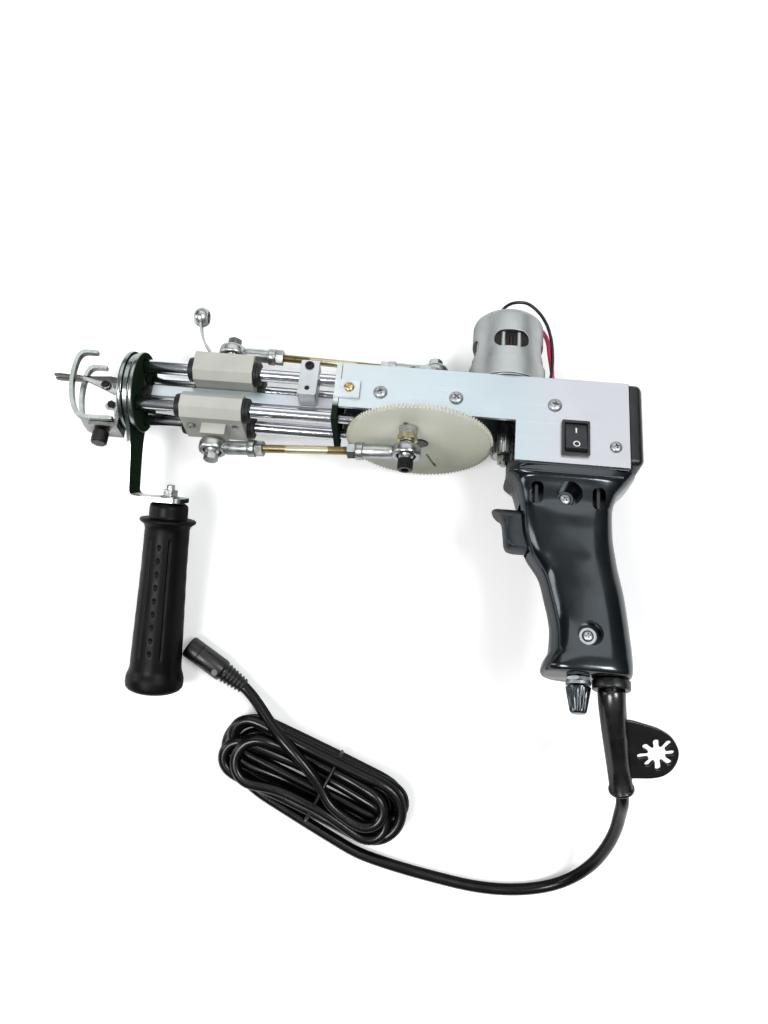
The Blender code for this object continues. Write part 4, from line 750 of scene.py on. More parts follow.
def cord_route():
    route = [machine_to_table(SLEEVE_B - droop_dir * 7.0), machine_to_table(SLEEVE_B + droop_dir * 3.0),
             (171.6, -212.4, 56.0), (172.8, -225.0, 44.5), (171.6, -237.6, 33.6), (168.0, -250.6, 22.4),
             (160.6, -262.4, 13.0), (149.3, -271.2, 7.0), (134.8, -276.4, 4.2), (117.3, -278.6, 3.6), (99.0, -278.2, 3.5),
             (80.6, -275.8, 3.5), (62.0, -272.8, 3.5), (46.0, -269.6, 3.5)]
    route += [hank_point(*p) for p in ((43.0, -29.6, 3.5), (27.0, -28.6, 3.5), (8.0, -26.9, 3.5), (-12.0, -24.9, 3.5),
                                       (-28.0, -23.0, 3.5), (-40.0, -19.4, 3.5))]
    # a fold is its middle, radius, height in and out, and reach from the middle of the hank;
    # a turn is the fold it comes from, its run, the near fold and the run back
    turns = [((0.0, 17.2, 3.5, 3.5, 58.0), (17.2, 3.5), (0.0, 17.2, 3.5, 3.5, 57.9), (-17.2, 3.5)),
             ((-2.4, 12.8, 3.6, 3.6, 51.2), (10.4, 3.5), (0.0, 10.4, 3.6, 3.8, 50.8), (-10.4, 3.5)),
             ((3.4, 13.8, 8.6, 9.8, 56.4), (17.2, 9.6), (6.85, 10.35, 10.0, 10.0, 56.8), (-3.5, 9.6)),
             ((6.85, 10.35, 9.8, 14.6, 57.2), (17.2, 15.8), (0.0, 17.2, 16.6, 13.0, 57.4), (-17.2, 9.9)),
             ((-6.85, 10.35, 13.4, 15.4, 56.4), (3.5, 9.8), (-6.85, 10.35, 15.4, 15.0, 51.6), (-13.8, 15.4)),
             ((-3.4, 13.8, 18.2, 19.2, 48.6), (10.4, 13.2), (0.0, 10.4, 18.8, 18.8, 46.6), None)]
    for k, (far, run, near, back) in enumerate(turns):
        sway = 0.9 * math.sin(1.7 * k + 0.6)
        c, r, h0, h1, reach = far
        for i in range(0 if k else 1, 9):
            f = i / 8.0
            rr = r + (1.8 * (1 - f) if k == 0 else 0.0)
            route.append(hank_point(-(reach - r) - rr * math.sin(math.pi * f), c - rr * math.cos(math.pi * f),
                                    h0 * (1 - f) + h1 * f))
        for a in (-26.0, -12.0, 2.0, 16.0, 27.0):
            w = max(0.0, (abs(a) - 14.0) / 24.0)
            side_b, side_h = (c + r, h1) if a < 0 else (near[0] + near[1], near[2])
            route.append(hank_point(a, run[0] * (1 - w) + side_b * w + sway * math.cos(a / 30.0),
                                    run[1] * (1 - w) + side_h * w))
        c, r, h0, h1, reach = near
        for i in range(9):
            f = i / 8.0
            route.append(hank_point(reach - r + r * math.sin(math.pi * f), c + r * math.cos(math.pi * f),
                                    h0 * (1 - f) + h1 * f))
        if back is None:
            route += [hank_point(26.0, -9.2, 18.6), hank_point(14.0, -6.2, 18.4)]
            continue
        after = turns[k + 1][0]
        for a in (27.0, 14.0, 0.0, -14.0, -27.0):
            w = max(0.0, (abs(a) - 14.0) / 24.0)
            side_b, side_h = (c - r, h1) if a > 0 else (after[0] - after[1], after[2])
            route.append(hank_point(a, back[0] * (1 - w) + side_b * w + sway * math.cos(a / 30.0),
                                    back[1] * (1 - w) + side_h * w))
    route += [(5.0, -224.4, 18.8), (-2.2, -215.4, 20.3), (-10.8, -206.8, 20.6), (-20.0, -198.8, 19.6),
              (-28.2, -191.0, 16.4), (-34.6, -184.4, 12.4), (-41.2, -177.8, 9.2), (-47.0, -172.5, 7.4),
              (-50.8, -170.0, 7.1)]
    return [table_point(*p) for p in route]


route = relaxed(smooth_curve(cord_route(), 2.2 * MM), 6)
route = [Vector((p.x, p.y, max(p.z, FLOOR_R * MM))) for p in route]
cord = tube("supply_cord", route, CORD_D / 2 * MM, resolution=5)
cord.data.materials.append(MAT["cord"])
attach(cord, "machine")
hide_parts("cord_lead", "cord_hank", "cord_tail")

# thin tie around the middle of the hank
tie_c, tie_d = Vector((6.6, -224.4)), Vector((18.3, 41.9)).normalized()
section = [(-25.4, 8.6), (-26.2, 5.4), (-25.6, 1.6), (-21.0, 1.05), (-8.0, 1.05), (8.0, 1.05), (15.0, 1.2),
           (20.8, 4.4), (21.6, 9.0), (20.6, 12.8), (15.0, 16.6), (9.0, 19.6), (4.8, 20.4), (0.0, 20.6), (-4.8, 20.4),
           (-9.6, 19.4), (-14.0, 16.8), (-19.5, 14.3), (-23.4, 12.0)]
loop = [table_point(*(tie_c + tie_d * b), h) for b, h in section]
fine = []
for i in range(len(loop)):
    a, b = loop[i], loop[(i + 1) % len(loop)]
    for k in range(6):
        fine.append(a + (b - a) * (k / 6.0))
arr = np.array([tuple(p) for p in fine])
for _ in range(4):
    arr = 0.25 * np.roll(arr, 1, 0) + 0.5 * arr + 0.25 * np.roll(arr, -1, 0)
tie = tube("cord_tie", [Vector(p) for p in arr], 1.0 * MM, closed=True, resolution=3)
tie.data.materials.append(MAT["black_plastic"])
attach(tie, "machine")

# connector: ribbed strain relief, barrel with a seam and a small light window
CONN_A = Vector((-48.4, -171.4, 7.1))
CONN_DIR = Vector((-0.86, 0.51, 0.0)).normalized()
relief = [(0.2, 3.6)]
for i in range(6):
    s0 = 0.6 + i * 2.5
    r0 = 4.3 + i * 0.30
    relief += [(s0, r0 - 0.5), (s0 + 0.25, r0 + 0.25), (s0 + 1.35, r0 + 0.35), (s0 + 1.6, r0 - 0.55)]
relief += [(15.6, 5.4), (15.9, 6.0), (16.4, 6.5), (17.4, 6.85), (34.0, 6.9), (34.15, 6.55), (34.5, 6.55), (34.65, 6.9),
           (41.9, 6.9), (42.7, 6.5), (43.0, 5.9), (42.6, 5.2), (42.6, 1.6), (38.0, 1.5)]
connector = piece("connector", turned(CONN_A, CONN_DIR, relief, 40), "machine", "black_plastic",
                  smooth=28, table=True)
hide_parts("cord_connector")
side_dir = Vector((0.0, 0.0, 1.0)).cross(CONN_DIR).normalized()
dot_dir = (side_dir * 0.35 + Vector((0, 0, 1)) * 0.94).normalized()
dot_o = CONN_A + CONN_DIR * 19.6 + dot_dir * 5.9
window = piece("connector_window", turned(dot_o, dot_dir, [(0.0, 2.0), (1.0, 2.0), (1.15, 1.8)], 20), "machine",
               "light_grey", table=True)


# ---------------------------------------------------------------------------
# fasteners
# ---------------------------------------------------------------------------
def frame_matrix(origin, direction, spin=0.0):
    d, u, v = basis(direction)
    m = Matrix((u, v, d)).transposed().to_4x4()
    scale = Matrix.Translation(Vector(origin) * MM)
    return MACHINE @ scale @ m @ Matrix.Rotation(spin, 4, 'Z')


def cross_screw(name, origin, direction, r, body, mat="nickel", h=None, washer=0.0, spin=0.3):
    """Pan head with a cross recess, its seat at origin."""
    h = h or r * 0.55
    prof = [(0.0, r * 0.97), (h * 0.18, r), (h * 0.45, r * 0.95), (h * 0.72, r * 0.80), (h * 0.9, r * 0.58),
            (h, r * 0.28), (h * 1.01, 0.0)]
    head = raw(name, *turned((0, 0, 0), (0, 0, 1), prof, 32), matrix=frame_matrix(origin, direction, spin))
    w, length, depth = r * 0.14, r * 0.62, h * 0.42
    tools = []
    for a, b in ((length, w), (w, length)):
        top, low = 1.0, 0.45
        verts = [(-a * low, -b * low, depth), (a * low, -b * low, depth), (a * low, b * low, depth), (-a * low, b * low, depth),
                 (-a * top, -b, h * 1.3), (a * top, -b, h * 1.3), (a * top, b, h * 1.3), (-a * top, b, h * 1.3)]
        faces = [(3, 2, 1, 0), (4, 5, 6, 7), (0, 1, 5, 4), (1, 2, 6, 5), (2, 3, 7, 6), (3, 0, 4, 7)]
        tools.append(raw(name + "_t", verts, faces, matrix=frame_matrix(origin, direction, spin)))
    cut(head, *tools)
    finish(head, body, mat, 30)
    if washer > 0:
        ring = raw(name + "_washer", *turned((0, 0, -0.5), (0, 0, 1), [
            (0.0, washer * 0.98), (0.1, washer), (0.5, washer), (0.62, washer * 0.97), (0.62, r * 0.5), (0.0, r * 0.5)],
            36, ring=True), matrix=frame_matrix(origin, direction))
        finish(ring, body, mat, 30)
    return head


def socket_screw(name, origin, direction, r, body, mat, h, bore=0.5, knurl=True):
    """Cap head with a hexagon socket, its seat at origin."""
    n = 72
    prof = [(0.0, r * 0.94), (0.25, r), (h - 0.5, r), (h, r - 0.5)]
    wob = (lambda a, s: 1.0 - (0.035 if math.cos(a * 24) < 0 else 0.0)) if knurl else None
    head = raw(name, *turned((0, 0, 0), (0, 0, 1), prof, n, wobble=wob), matrix=frame_matrix(origin, direction))
    tool = raw(name + "_t", *turned((0, 0, h * 0.35), (0, 0, 1), [(0.0, r * bore), (h, r * bore)], 6),
               matrix=frame_matrix(origin, direction))
    cut(head, tool)
    return finish(head, body, mat, 30)


def hex_nut(name, origin, direction, flats, length, body, mat, bore=0.0, spin=0.0):
    """Hexagon with rounded corners on both faces, from origin along direction."""
    ra, ri = flats / math.sqrt(3.0), flats / 2.0
    outer = raw(name, *turned((0, 0, 0), (0, 0, 1), [(0.0, ra), (length, ra)], 6), matrix=frame_matrix(origin, direction, spin))
    c = ra - ri
    tool = raw(name + "_t", *turned((0, 0, 0), (0, 0, 1), [
        (-0.05, ri * 0.97), (c * 0.62, ra * 1.01), (length - c * 0.62, ra * 1.01), (length + 0.05, ri * 0.97)], 48),
        matrix=frame_matrix(origin, direction, spin))
    cut(outer, tool, operation='INTERSECT')
    if bore > 0:
        cut(outer, raw(name + "_b", *turned((0, 0, -1), (0, 0, 1), [(0.0, bore), (length + 2, bore)], 32),
                       matrix=frame_matrix(origin, direction, spin)))
    return finish(outer, body, mat, 25)


def washer(name, origin, direction, r, bore, t, body, mat, slot):
    ring = raw(name, *turned((0, 0, 0), (0, 0, 1), [
        (0.0, r - 0.1), (0.1, r), (t - 0.1, r), (t, r - 0.1), (t, bore), (0.0, bore)], 40, ring=True),
        matrix=frame_matrix(origin, direction))
    return finish(ring, body, mat, 30)


for side, z, d in (("near", 20.0, 1), ("far", -20.0, -1)):
    for i, (x, y, r) in enumerate(((22.7, 0.4, 3.9), (65.3, 0.4, 3.9), (120.2, 0.5, 3.9), (153.5, -22.7, 3.3))):
        cross_screw("plate_screw_%s_%d" % (side, i + 1), (x, y, z), (0, 0, d), r, "machine", spin=0.35 + 0.5 * i)
cross_screw("strap_screw", (5.1, 1.3, 21.9), (0, 0, 1), 3.0, "machine", mat="brass_plain", spin=0.6)
for y, z in ((12.0, 14.5), (12.0, -14.5), (-26.0, 14.5), (-26.0, -14.5)):
    cross_screw("cover_screw_%d_%d" % (int(y > 0), int(z > 0)), (168.8, y - 0.5, z * 0.9), (1, 0, 0), 2.2, "machine",
                spin=0.4)

# clamp block: cap screw above, grub screw below
socket_screw("clamp_screw", (-19.6, 16.6, 16.5), (0, 0, 1), 2.7, "machine", "black_steel", 1.2, 0.52, False)
socket_screw("clamp_grub", (-19.4, 1.9, 16.3), (0, 0, 1), 1.8, "machine", "black_steel", 0.35, 0.6, False)

# ---------------------------------------------------------------------------
# drive: pins, bolts, nuts
# ---------------------------------------------------------------------------
GEAR_X, MOTOR_X = 46.7, 95.0
LOWER_BALL, LOWER_PIN = Vector((-70.9, -32.2, 0.0)), Vector((40.1, -34.4, 17.3))
UPPER_BALL, UPPER_PIN = Vector((-69.6, 31.7, 0.0)), Vector((52.5, 31.7, -5.5))


def ball_stud(name, node, origin, up, seat, seat_r, body, mat):
    """The pin and ball inside a rod end, with its seat; the head is a piece of its own."""
    s = 1 if up > 0 else -1
    profile = [(-seat, seat_r - 0.3), (-seat + 0.3, seat_r), (-4.9, seat_r), (-4.6, seat_r - 0.3), (-4.2, 3.0)]
    for k in range(13):
        a = math.radians(-52 + 104.0 * k / 12)
        profile.append((5.0 * math.sin(a), 5.0 * math.cos(a)))
    profile += [(4.3, 3.0), (4.5, 3.0)]
    obj = piece(name, turned(origin, (0, s, 0), profile, 40), body, mat)
    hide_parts(node)
    return obj


ball_stud("lower_crank_pin", "lower_crank_bolt", LOWER_PIN, -1, 5.5, 4.0, "lower_connecting_rod", "zinc")
socket_screw("lower_crank_head", LOWER_PIN + Vector((0, -4.6, 0)), (0, -1, 0), 4.3, "lower_connecting_rod",
             "black_steel", 6.2, 0.56)
ball_stud("upper_crank_pin", "upper_crank_bolt", UPPER_PIN, 1, 6.3, 4.5, "upper_connecting_rod", "zinc")
hex_nut("upper_crank_head", UPPER_PIN + Vector((0, 4.6, 0)), (0, 1, 0), 7.6, 3.6, "upper_connecting_rod", "zinc",
        spin=0.3)
ball_stud("lower_block_pin", "lower_block_bolt", LOWER_BALL, -1, 5.0, 4.0, "lower_carriage", "zinc")
hex_nut("lower_block_head", LOWER_BALL + Vector((0, -4.6, 0)), (0, -1, 0), 7.2, 3.8, "lower_carriage", "zinc",
        spin=0.2)
ball_stud("upper_block_pin", "upper_block_bolt", UPPER_BALL, 1, 8.6, 4.0, "upper_carriage", "zinc")
hex_nut("upper_block_head", UPPER_BALL + Vector((0, 4.6, 0)), (0, 1, 0), 8.0, 4.2, "upper_carriage", "zinc",
        spin=0.25)

# two hexagons and a washer under the lower crank pin
spacer = hex_nut("crank_nut_upper", (LOWER_PIN.x, -19.7, LOWER_PIN.z), (0, -1, 0), 9.8, 3.4, "gear", "zinc",
                 spin=0.1)
hex_nut("crank_nut_lower", (LOWER_PIN.x, -24.0, LOWER_PIN.z), (0, -1, 0), 9.8, 3.6, "gear", "zinc_yellow",
        spin=0.45)
washer("crank_washer", (LOWER_PIN.x, -23.1, LOWER_PIN.z), (0, -1, 0), 4.9, 2.0, 0.9, "gear", "zinc", "zinc_steel")
washer("crank_washer_end", (LOWER_PIN.x, -27.6, LOWER_PIN.z), (0, -1, 0), 4.3, 1.0, 0.9, "gear", "zinc", "zinc_steel")
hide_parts("crank_spacer")

for prefix, a, b, body in (("lower", LOWER_BALL, LOWER_PIN, "lower_connecting_rod"),
                           ("upper", UPPER_BALL, UPPER_PIN, "upper_connecting_rod")):
    d = (b - a).normalized()
    hex_nut(prefix + "_jam_nut_front", a + d * 26.1, d, 8.0, 4.6, body, "zinc", bore=2.5, spin=0.2)
    hex_nut(prefix + "_jam_nut_rear", b - d * 28.1, -d, 8.0, 4.6, body, "zinc", bore=2.5, spin=0.5)

# nut on the end of the pinion and a bright washer on its hub
hex_nut("pinion_nut", (MOTOR_X, -24.0, 0), (0, -1, 0), 7.0, 4.0, "pinion", "zinc", bore=2.4, spin=0.2)
washer("pinion_washer", (MOTOR_X, -2.3, 0), (0, 1, 0), 4.9, 2.6, 0.8, "pinion", "nickel", "chrome")

# ---------------------------------------------------------------------------
# motor: end cap, terminals, windings behind the vents, and dark sheets in the vents as painted shadow
# ---------------------------------------------------------------------------
piece("motor_end_cap", turned((MOTOR_X, 64.55, 0), (0, 1, 0), [(0, 13.5), (0.9, 13.5), (1.3, 13.0), (1.3, 8.4)], 48),
      "machine", "black_plastic", bevel=0.1)
for i, (dx, dz) in enumerate(((-6.0, 7.0), (6.0, -6.0))):
    piece("motor_terminal_%d" % (i + 1), block(MOTOR_X + dx - 2.2, MOTOR_X + dx + 2.2, 65.7, 68.6, dz - 0.4, dz + 0.4),
          "machine", "brass_plain", bevel=0.12)
for label, side in (("near", 1), ("far", -1)):
    lo, hi = (17.25, 17.6) if side > 0 else (-17.6, -17.25)
    # a dark sheet in the vent: painted shadow of the motor's inside
    piece("motor_vent_shadow_" + label, prism(rounded(MOTOR_X - 9.8, MOTOR_X + 9.8, 37.7, 48.3, 4.8), 'xy', lo, hi),
          "machine", "painted_vent_shadow")
    for j, dx in enumerate((-4.6, 4.4)):
        zz = 17.7 * side
        piece("motor_post_%s_%d" % (label, j + 1), turned((MOTOR_X + dx, 38.0, zz), (0, 1, 0), [
            (0, 1.5), (10.0, 1.5)], 20), "machine", "motor_steel")
    piece("motor_coil_" + label, turned((MOTOR_X - 0.1, 39.5, 17.6 * side), (0, 1, 0), [
        (0, 0.4), (1.2, 1.3), (5.8, 1.3), (7.0, 0.4)], 20), "machine", "copper")

# ---------------------------------------------------------------------------
# motor can, flux ring, wires
# ---------------------------------------------------------------------------
MOTOR_R, MOTOR_TOP = 21.0, 64.5
vents = [prism(rounded(MOTOR_X - 10.0, MOTOR_X + 10.0, 37.5, 48.5, 5.0, 10), 'xy', 17.2, 30),
         prism(rounded(MOTOR_X - 10.0, MOTOR_X + 10.0, 37.5, 48.5, 5.0, 10), 'xy', -30, -17.2)]
for lo, hi in ((MOTOR_X - 30, MOTOR_X - 17.2), (MOTOR_X + 17.2, MOTOR_X + 30)):
    vents.append(prism(rounded(37.5, 48.5, -10.0, 10.0, 5.0, 10), 'yz', lo, hi))
stand("motor_can", "motor_can_shell", turned((MOTOR_X, 0, 0), (0, 1, 0), [
    (14.6, 8.8), (18.3, 8.8), (18.3, 19.9), (18.45, 20.5), (18.8, 20.88), (19.3, 21.0), (40.0, 21.0), (60.4, 21.0),
    (61.8, 20.8), (62.9, 20.35), (63.8, 19.5), (64.3, 18.5), (64.5, 17.4), (64.5, 8.2), (64.7, 8.0), (66.4, 7.7),
    (66.7, 7.3), (66.7, 2.6), (66.3, 2.4), (66.3, 0.0)], 144), "machine", "motor_steel", cuts=vents,
    smooth=28, bevel=0.25)
for label, lo, hi in (("left", MOTOR_X - 17.6, MOTOR_X - 17.25), ("right", MOTOR_X + 17.25, MOTOR_X + 17.6)):
    # a dark sheet in the vent: painted shadow of the motor's inside
    piece("motor_vent_shadow_" + label, prism(rounded(37.7, 48.3, -9.8, 9.8, 4.8), 'yz', lo, hi), "machine", "painted_vent_shadow")
    xx = (lo + hi) / 2
    for j, dz in enumerate((-4.5, 4.5)):
        piece("motor_post_%s_%d" % (label, j + 1), turned((xx, 38.0, dz), (0, 1, 0), [(0, 1.5), (10.0, 1.5)], 20), "machine",
              "motor_steel")
stand("motor_flux_ring", "motor_flux_band", turned((MOTOR_X, 0, 0), (0, 1, 0), [
    (18.9, 21.3), (18.7, 21.5), (18.7, 22.3), (18.9, 22.5), (31.2, 22.5), (31.4, 22.3), (31.4, 21.5), (31.2, 21.3)], 144,
    ring=True), "machine", "motor_steel", smooth=28)


def wire(node, name, points, mat, radius=1.0):
    line = [MACHINE @ (p * MM) for p in smooth_curve(points, 1.3)]
    obj = tube(name, line, radius * MM, resolution=5)
    obj.data.materials.append(MAT[mat])
    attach(obj, "machine")
    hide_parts(node)


wire("motor_wire_black", "wire_black_line", [
    (MOTOR_X - 6.0, 67.4, 7.0), (MOTOR_X - 4.0, 73.0, 7.0), (MOTOR_X + 1.5, 78.6, 5.5), (MOTOR_X + 10.0, 80.0, 4.5),
    (MOTOR_X + 17.3, 75.6, 3.0), (MOTOR_X + 22.8, 68.0, 1.5), (MOTOR_X + 25.8, 58.0, 0.8), (MOTOR_X + 26.9, 46.0, 0.6),
    (MOTOR_X + 26.6, 35.0, 0.8), (MOTOR_X + 25.2, 24.0, 1.0), (MOTOR_X + 24.9, 12.0, 1.0)], "wire_black")
wire("motor_wire_red", "wire_red_line", [
    (MOTOR_X + 6.0, 67.4, -6.0), (MOTOR_X + 9.0, 71.0, -6.5), (MOTOR_X + 14.5, 71.8, -6.0), (MOTOR_X + 20.5, 67.5, -4.8),
    (MOTOR_X + 24.2, 59.5, -3.2), (MOTOR_X + 25.7, 48.0, -2.4), (MOTOR_X + 27.2, 36.0, -2.0), (MOTOR_X + 27.8, 24.0, -1.8),
    (MOTOR_X + 27.6, 12.0, -1.8)], "wire_red", 1.35)

# ---------------------------------------------------------------------------
# guide rods, rod ends, threaded rods, bushings
# ---------------------------------------------------------------------------
for vert, y in (("upper", 12.3), ("lower", -12.3)):
    for label, z in (("near", 9.6), ("far", -9.6)):
        stand("guide_rod_%s_%s" % (vert, label), "rod_%s_%s" % (vert, label), turned((0, y, z), (1, 0, 0), [
            (-119.0, 3.3), (-118.8, 3.7), (-118.3, 4.0), (-60.0, 4.0), (-0.6, 4.0), (-0.6, 3.0), (8.5, 3.0), (9.0, 2.5)], 72),
            "machine", "ground")


def rod_end(node, name, origin, direction, reach, body):
    eye = turned(origin, (0, 1, 0), [(-3.0, 5.9), (-3.0, 7.1), (-2.75, 7.5), (-2.1, 7.85), (-1.0, 8.03), (1.0, 8.03),
                                     (2.1, 7.85), (2.75, 7.5), (3.0, 7.1), (3.0, 5.9), (2.5, 5.35), (-2.5, 5.35)], 96, ring=True)
    stand(node, name + "_eye", eye, body, "zinc", smooth=30)
    o = Vector(origin) + direction * 6.4
    prof = [(0, 2.6), (0.6, 3.1), (1.4, 3.6), (2.6, 4.0), (reach - 10.9, 4.0), (reach - 10.7, 4.3), (reach - 10.5, 4.9),
            (reach - 10.2, 5.0), (reach - 7.0, 5.0), (reach - 6.7, 4.9), (reach - 6.45, 4.6), (reach - 6.45, 2.45)]
    piece(name + "_shank", turned(o, direction, prof, 72), body, "zinc", smooth=30)


for prefix, a, b, body in (("lower", LOWER_BALL, LOWER_PIN, "lower_connecting_rod"),
                           ("upper", UPPER_BALL, UPPER_PIN, "upper_connecting_rod")):
    d = (b - a).normalized()
    length = (b - a).length
    rod_end(prefix + "_rod_end_front", prefix + "_end_front", a, d, 26.0, body)
    rod_end(prefix + "_rod_end_rear", prefix + "_end_rear", b, -d, 28.0, body)
    rows, s0, s1 = [], 26.3, length - 28.3
    run = s1 - s0
    s_at = 0.0
    while s_at < run:
        threaded = s_at < run * 0.30 or s_at > run * 0.72
        rows.append((s0 + s_at, 2.4))
        rows.append((s0 + s_at + 0.35, 2.12 if threaded else 2.4))
        s_at += 0.7
    rows.append((s1, 2.4))
    stand(prefix + "_rod", prefix + "_rod_thread", turned(a, d, rows, 40), body, "brass", smooth=60)

for name, x0, x1, sign, body in (("lower", -90.0, -54.5, -1, "lower_carriage"), ("upper", -86.5, -52.0, 1, "upper_carriage")):
    for label, z in (("near", 9.6), ("far", -9.6)):
        prof = [(x0 - 3.4, 4.3), (x0 - 3.4, 6.3), (x0 - 3.1, 6.8), (x0 - 1.6, 7.15), (x0 - 0.5, 7.3), (x0 - 0.3, 7.1),
                (x0 - 0.3, 6.6), (x1 + 0.3, 6.6), (x1 + 0.3, 7.1), (x1 + 0.5, 7.3), (x1 + 1.7, 7.2), (x1 + 1.9, 6.7),
                (x1 + 2.1, 7.1), (x1 + 3.4, 6.9), (x1 + 3.8, 6.4), (x1 + 3.8, 4.3)]
        stand("%s_bushing_%s" % (name, label), "%s_seal_%s" % (name, label), turned((0, sign * 12.3, z), (1, 0, 0), prof, 72,
              ring=True), body, "black_rubber", smooth=30)

# small screws in the lower block beside its boss
socket_screw("lower_block_screw_front", (-84.6, -20.4, 4.0), (0, -1, 0), 2.3, "lower_carriage", "zinc", 2.2,
             0.5, False)
socket_screw("lower_block_screw_rear", (-59.0, -20.4, 4.0), (0, -1, 0), 2.0, "lower_carriage", "dark_steel", 0.5,
             0.6, False)

# ---------------------------------------------------------------------------
# yarn guide: bent strip and a bell mouthed eye
# ---------------------------------------------------------------------------
line = smooth_curve([(-74.4, 21.4, 0), (-77.0, 22.0, 0), (-79.2, 24.4, 0), (-81.4, 28.4, 0), (-84.2, 32.4, 0),
                     (-87.6, 37.1, 0), (-90.4, 43.1, 0), (-92.0, 49.0, 0), (-92.4, 55.0, 0)], 0.8)
left, right = [], []
for i, q in enumerate(line):
    t = (line[min(i + 1, len(line) - 1)] - line[max(i - 1, 0)]).normalized()
    left.append((q.x - t.y * 0.65, q.y + t.x * 0.65))
    right.append((q.x + t.y * 0.65, q.y - t.x * 0.65))
bell = [(-4.2, 3.4), (-4.2, 4.1), (-3.7, 4.75), (-2.6, 5.45), (-1.3, 5.95), (0.0, 6.2), (1.3, 5.95), (2.6, 5.35), (3.6, 4.6),
        (4.1, 3.95), (4.1, 3.4), (3.0, 3.25), (0.0, 3.2), (-3.0, 3.25)]
stand("yarn_guide", "yarn_guide_strip", prism(left + right[::-1], 'xy', -3.0, 3.0), "upper_carriage", "zinc",
      bevel=0.25, cuts=[turned((-100, 55.8, 0), (1, 0, 0), [(0, 3.6), (16, 3.6)], 48)])
piece("yarn_guide_bell", turned((-92.6, 55.8, 0), (1, 0, 0), bell, 96, ring=True), "upper_carriage", "zinc",
      smooth=40)

# ---------------------------------------------------------------------------
# nose plates and the bracket of the side handle
# ---------------------------------------------------------------------------
HANDLE_SWING = math.radians(27.0)
C, S = math.cos(HANDLE_SWING), math.sin(HANDLE_SWING)
NDIR, TDIR = Vector((0, -C, -S)), Vector((0, -S, C))
handle_dir = (NDIR + Vector((-0.028, 0, 0))).normalized()
handle_origin = Vector((-98.5, 0, 0)) + NDIR * 63.5
window = [(-8.0, -5.5), (-8.0, 5.5), (-6.5, 7.0), (5.5, 7.0), (7.0, 5.6), (7.6, 4.6), (11.0, 4.6), (11.0, -4.6),
          (7.6, -4.6), (7.0, -5.6), (5.5, -7.0), (-6.5, -7.0)]
stand("nose_plate_front", "nose_disc_front", turned((0, 0, 0), (1, 0, 0), [
    (-125.6, 22.7), (-125.45, 23.1), (-125.1, 23.4), (-124.7, 23.5), (-123.3, 23.5), (-123.0, 23.35), (-122.9, 23.1)], 144),
    "machine", "bracket", smooth=30, cuts=[prism(window, 'yz', -130, -121)])
stand("nose_plate_rear", "nose_disc_rear", turned((0, 0, 0), (1, 0, 0), [
    (-119.3, 23.1), (-119.2, 23.35), (-118.9, 23.5), (-117.4, 23.5), (-117.0, 23.4), (-116.7, 23.1), (-116.6, 22.7)], 144),
    "machine", "bracket", smooth=30, cuts=[prism(window, 'yz', -121, -110)] + [
        turned((-121, y, z), (1, 0, 0), [(0, 4.3), (10, 4.3)], 48) for y in (12.3, -12.3) for z in (9.6, -9.6)])


def swung(x, along, across):
    return tuple(Vector((x, 0, 0)) + NDIR * along + TDIR * across)


def swung_prism(outline, order, lo, hi):
    """order 'at' extrudes an (along, across) outline over x, 'xa' an (x, along) one across, 'xt' an (x, across) one along."""
    def place(p, t):
        return {'at': (t, p[0], p[1]), 'xa': (p[0], p[1], t), 'xt': (p[0], t, p[1])}[order]
    k = len(outline)
    verts = [swung(*place(p, lo)) for p in outline] + [swung(*place(p, hi)) for p in outline]
    faces = [tuple(range(k - 1, -1, -1)), tuple(range(k, 2 * k))]
    faces += [(i, (i + 1) % k, k + (i + 1) % k, k + i) for i in range(k)]
    return verts, faces


arm = []
for i in range(81):
    t = math.radians(48 + (360 - 96) * i / 80.0)
    arm.append((22.3 * math.cos(t), 22.3 * math.sin(t)))
side = [(17.6, -15.3), (20.4, -14.0), (23.4, -12.7), (27.0, -11.6), (31.0, -10.8), (36.0, -10.25), (45.0, -9.9), (57.4, -9.5)]
arm += side + [(x, -y) for x, y in reversed(side)]
elbow = [(-122.3, 48.0), (-122.3, 57.7)]
for i in range(1, 13):
    t = math.pi / 2 * i / 12
    elbow.append((-116.8 - 5.5 * math.cos(t), 57.7 + 5.5 * math.sin(t)))
elbow += [(-88.0, 63.2), (-88.0, 60.6), (-116.8, 60.6)]
for i in range(1, 9):
    t = math.pi / 2 * (1 - i / 8.0)
    elbow.append((-116.8 - 3.3 * math.cos(t), 57.3 + 3.3 * math.sin(t)))
elbow += [(-120.1, 48.0)]
bracket = raw("bracket_arm", *swung_prism(elbow, 'xa', -9.5, 9.5))
cut(bracket, raw("tool", *swung_prism(rounded(-140.0, -88.0, -9.55, 9.55, 7.0, 12), 'xt', 40.0, 70.0)), operation='INTERSECT')
cut(bracket, raw("tool", *swung_prism(arm, 'at', -122.3, -120.1)), operation='UNION')
cut(bracket, raw("tool_a", *turned((-125, 0, 0), (1, 0, 0), [(0, 11.5), (10, 11.5)], 72)),
    raw("tool_b", *turned(handle_origin - handle_dir * 8, handle_dir, [(0, 3.0), (16, 3.0)], 36)))
finish(bracket, "side_handle", "bracket", 30, 0.3)
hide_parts("handle_bracket")

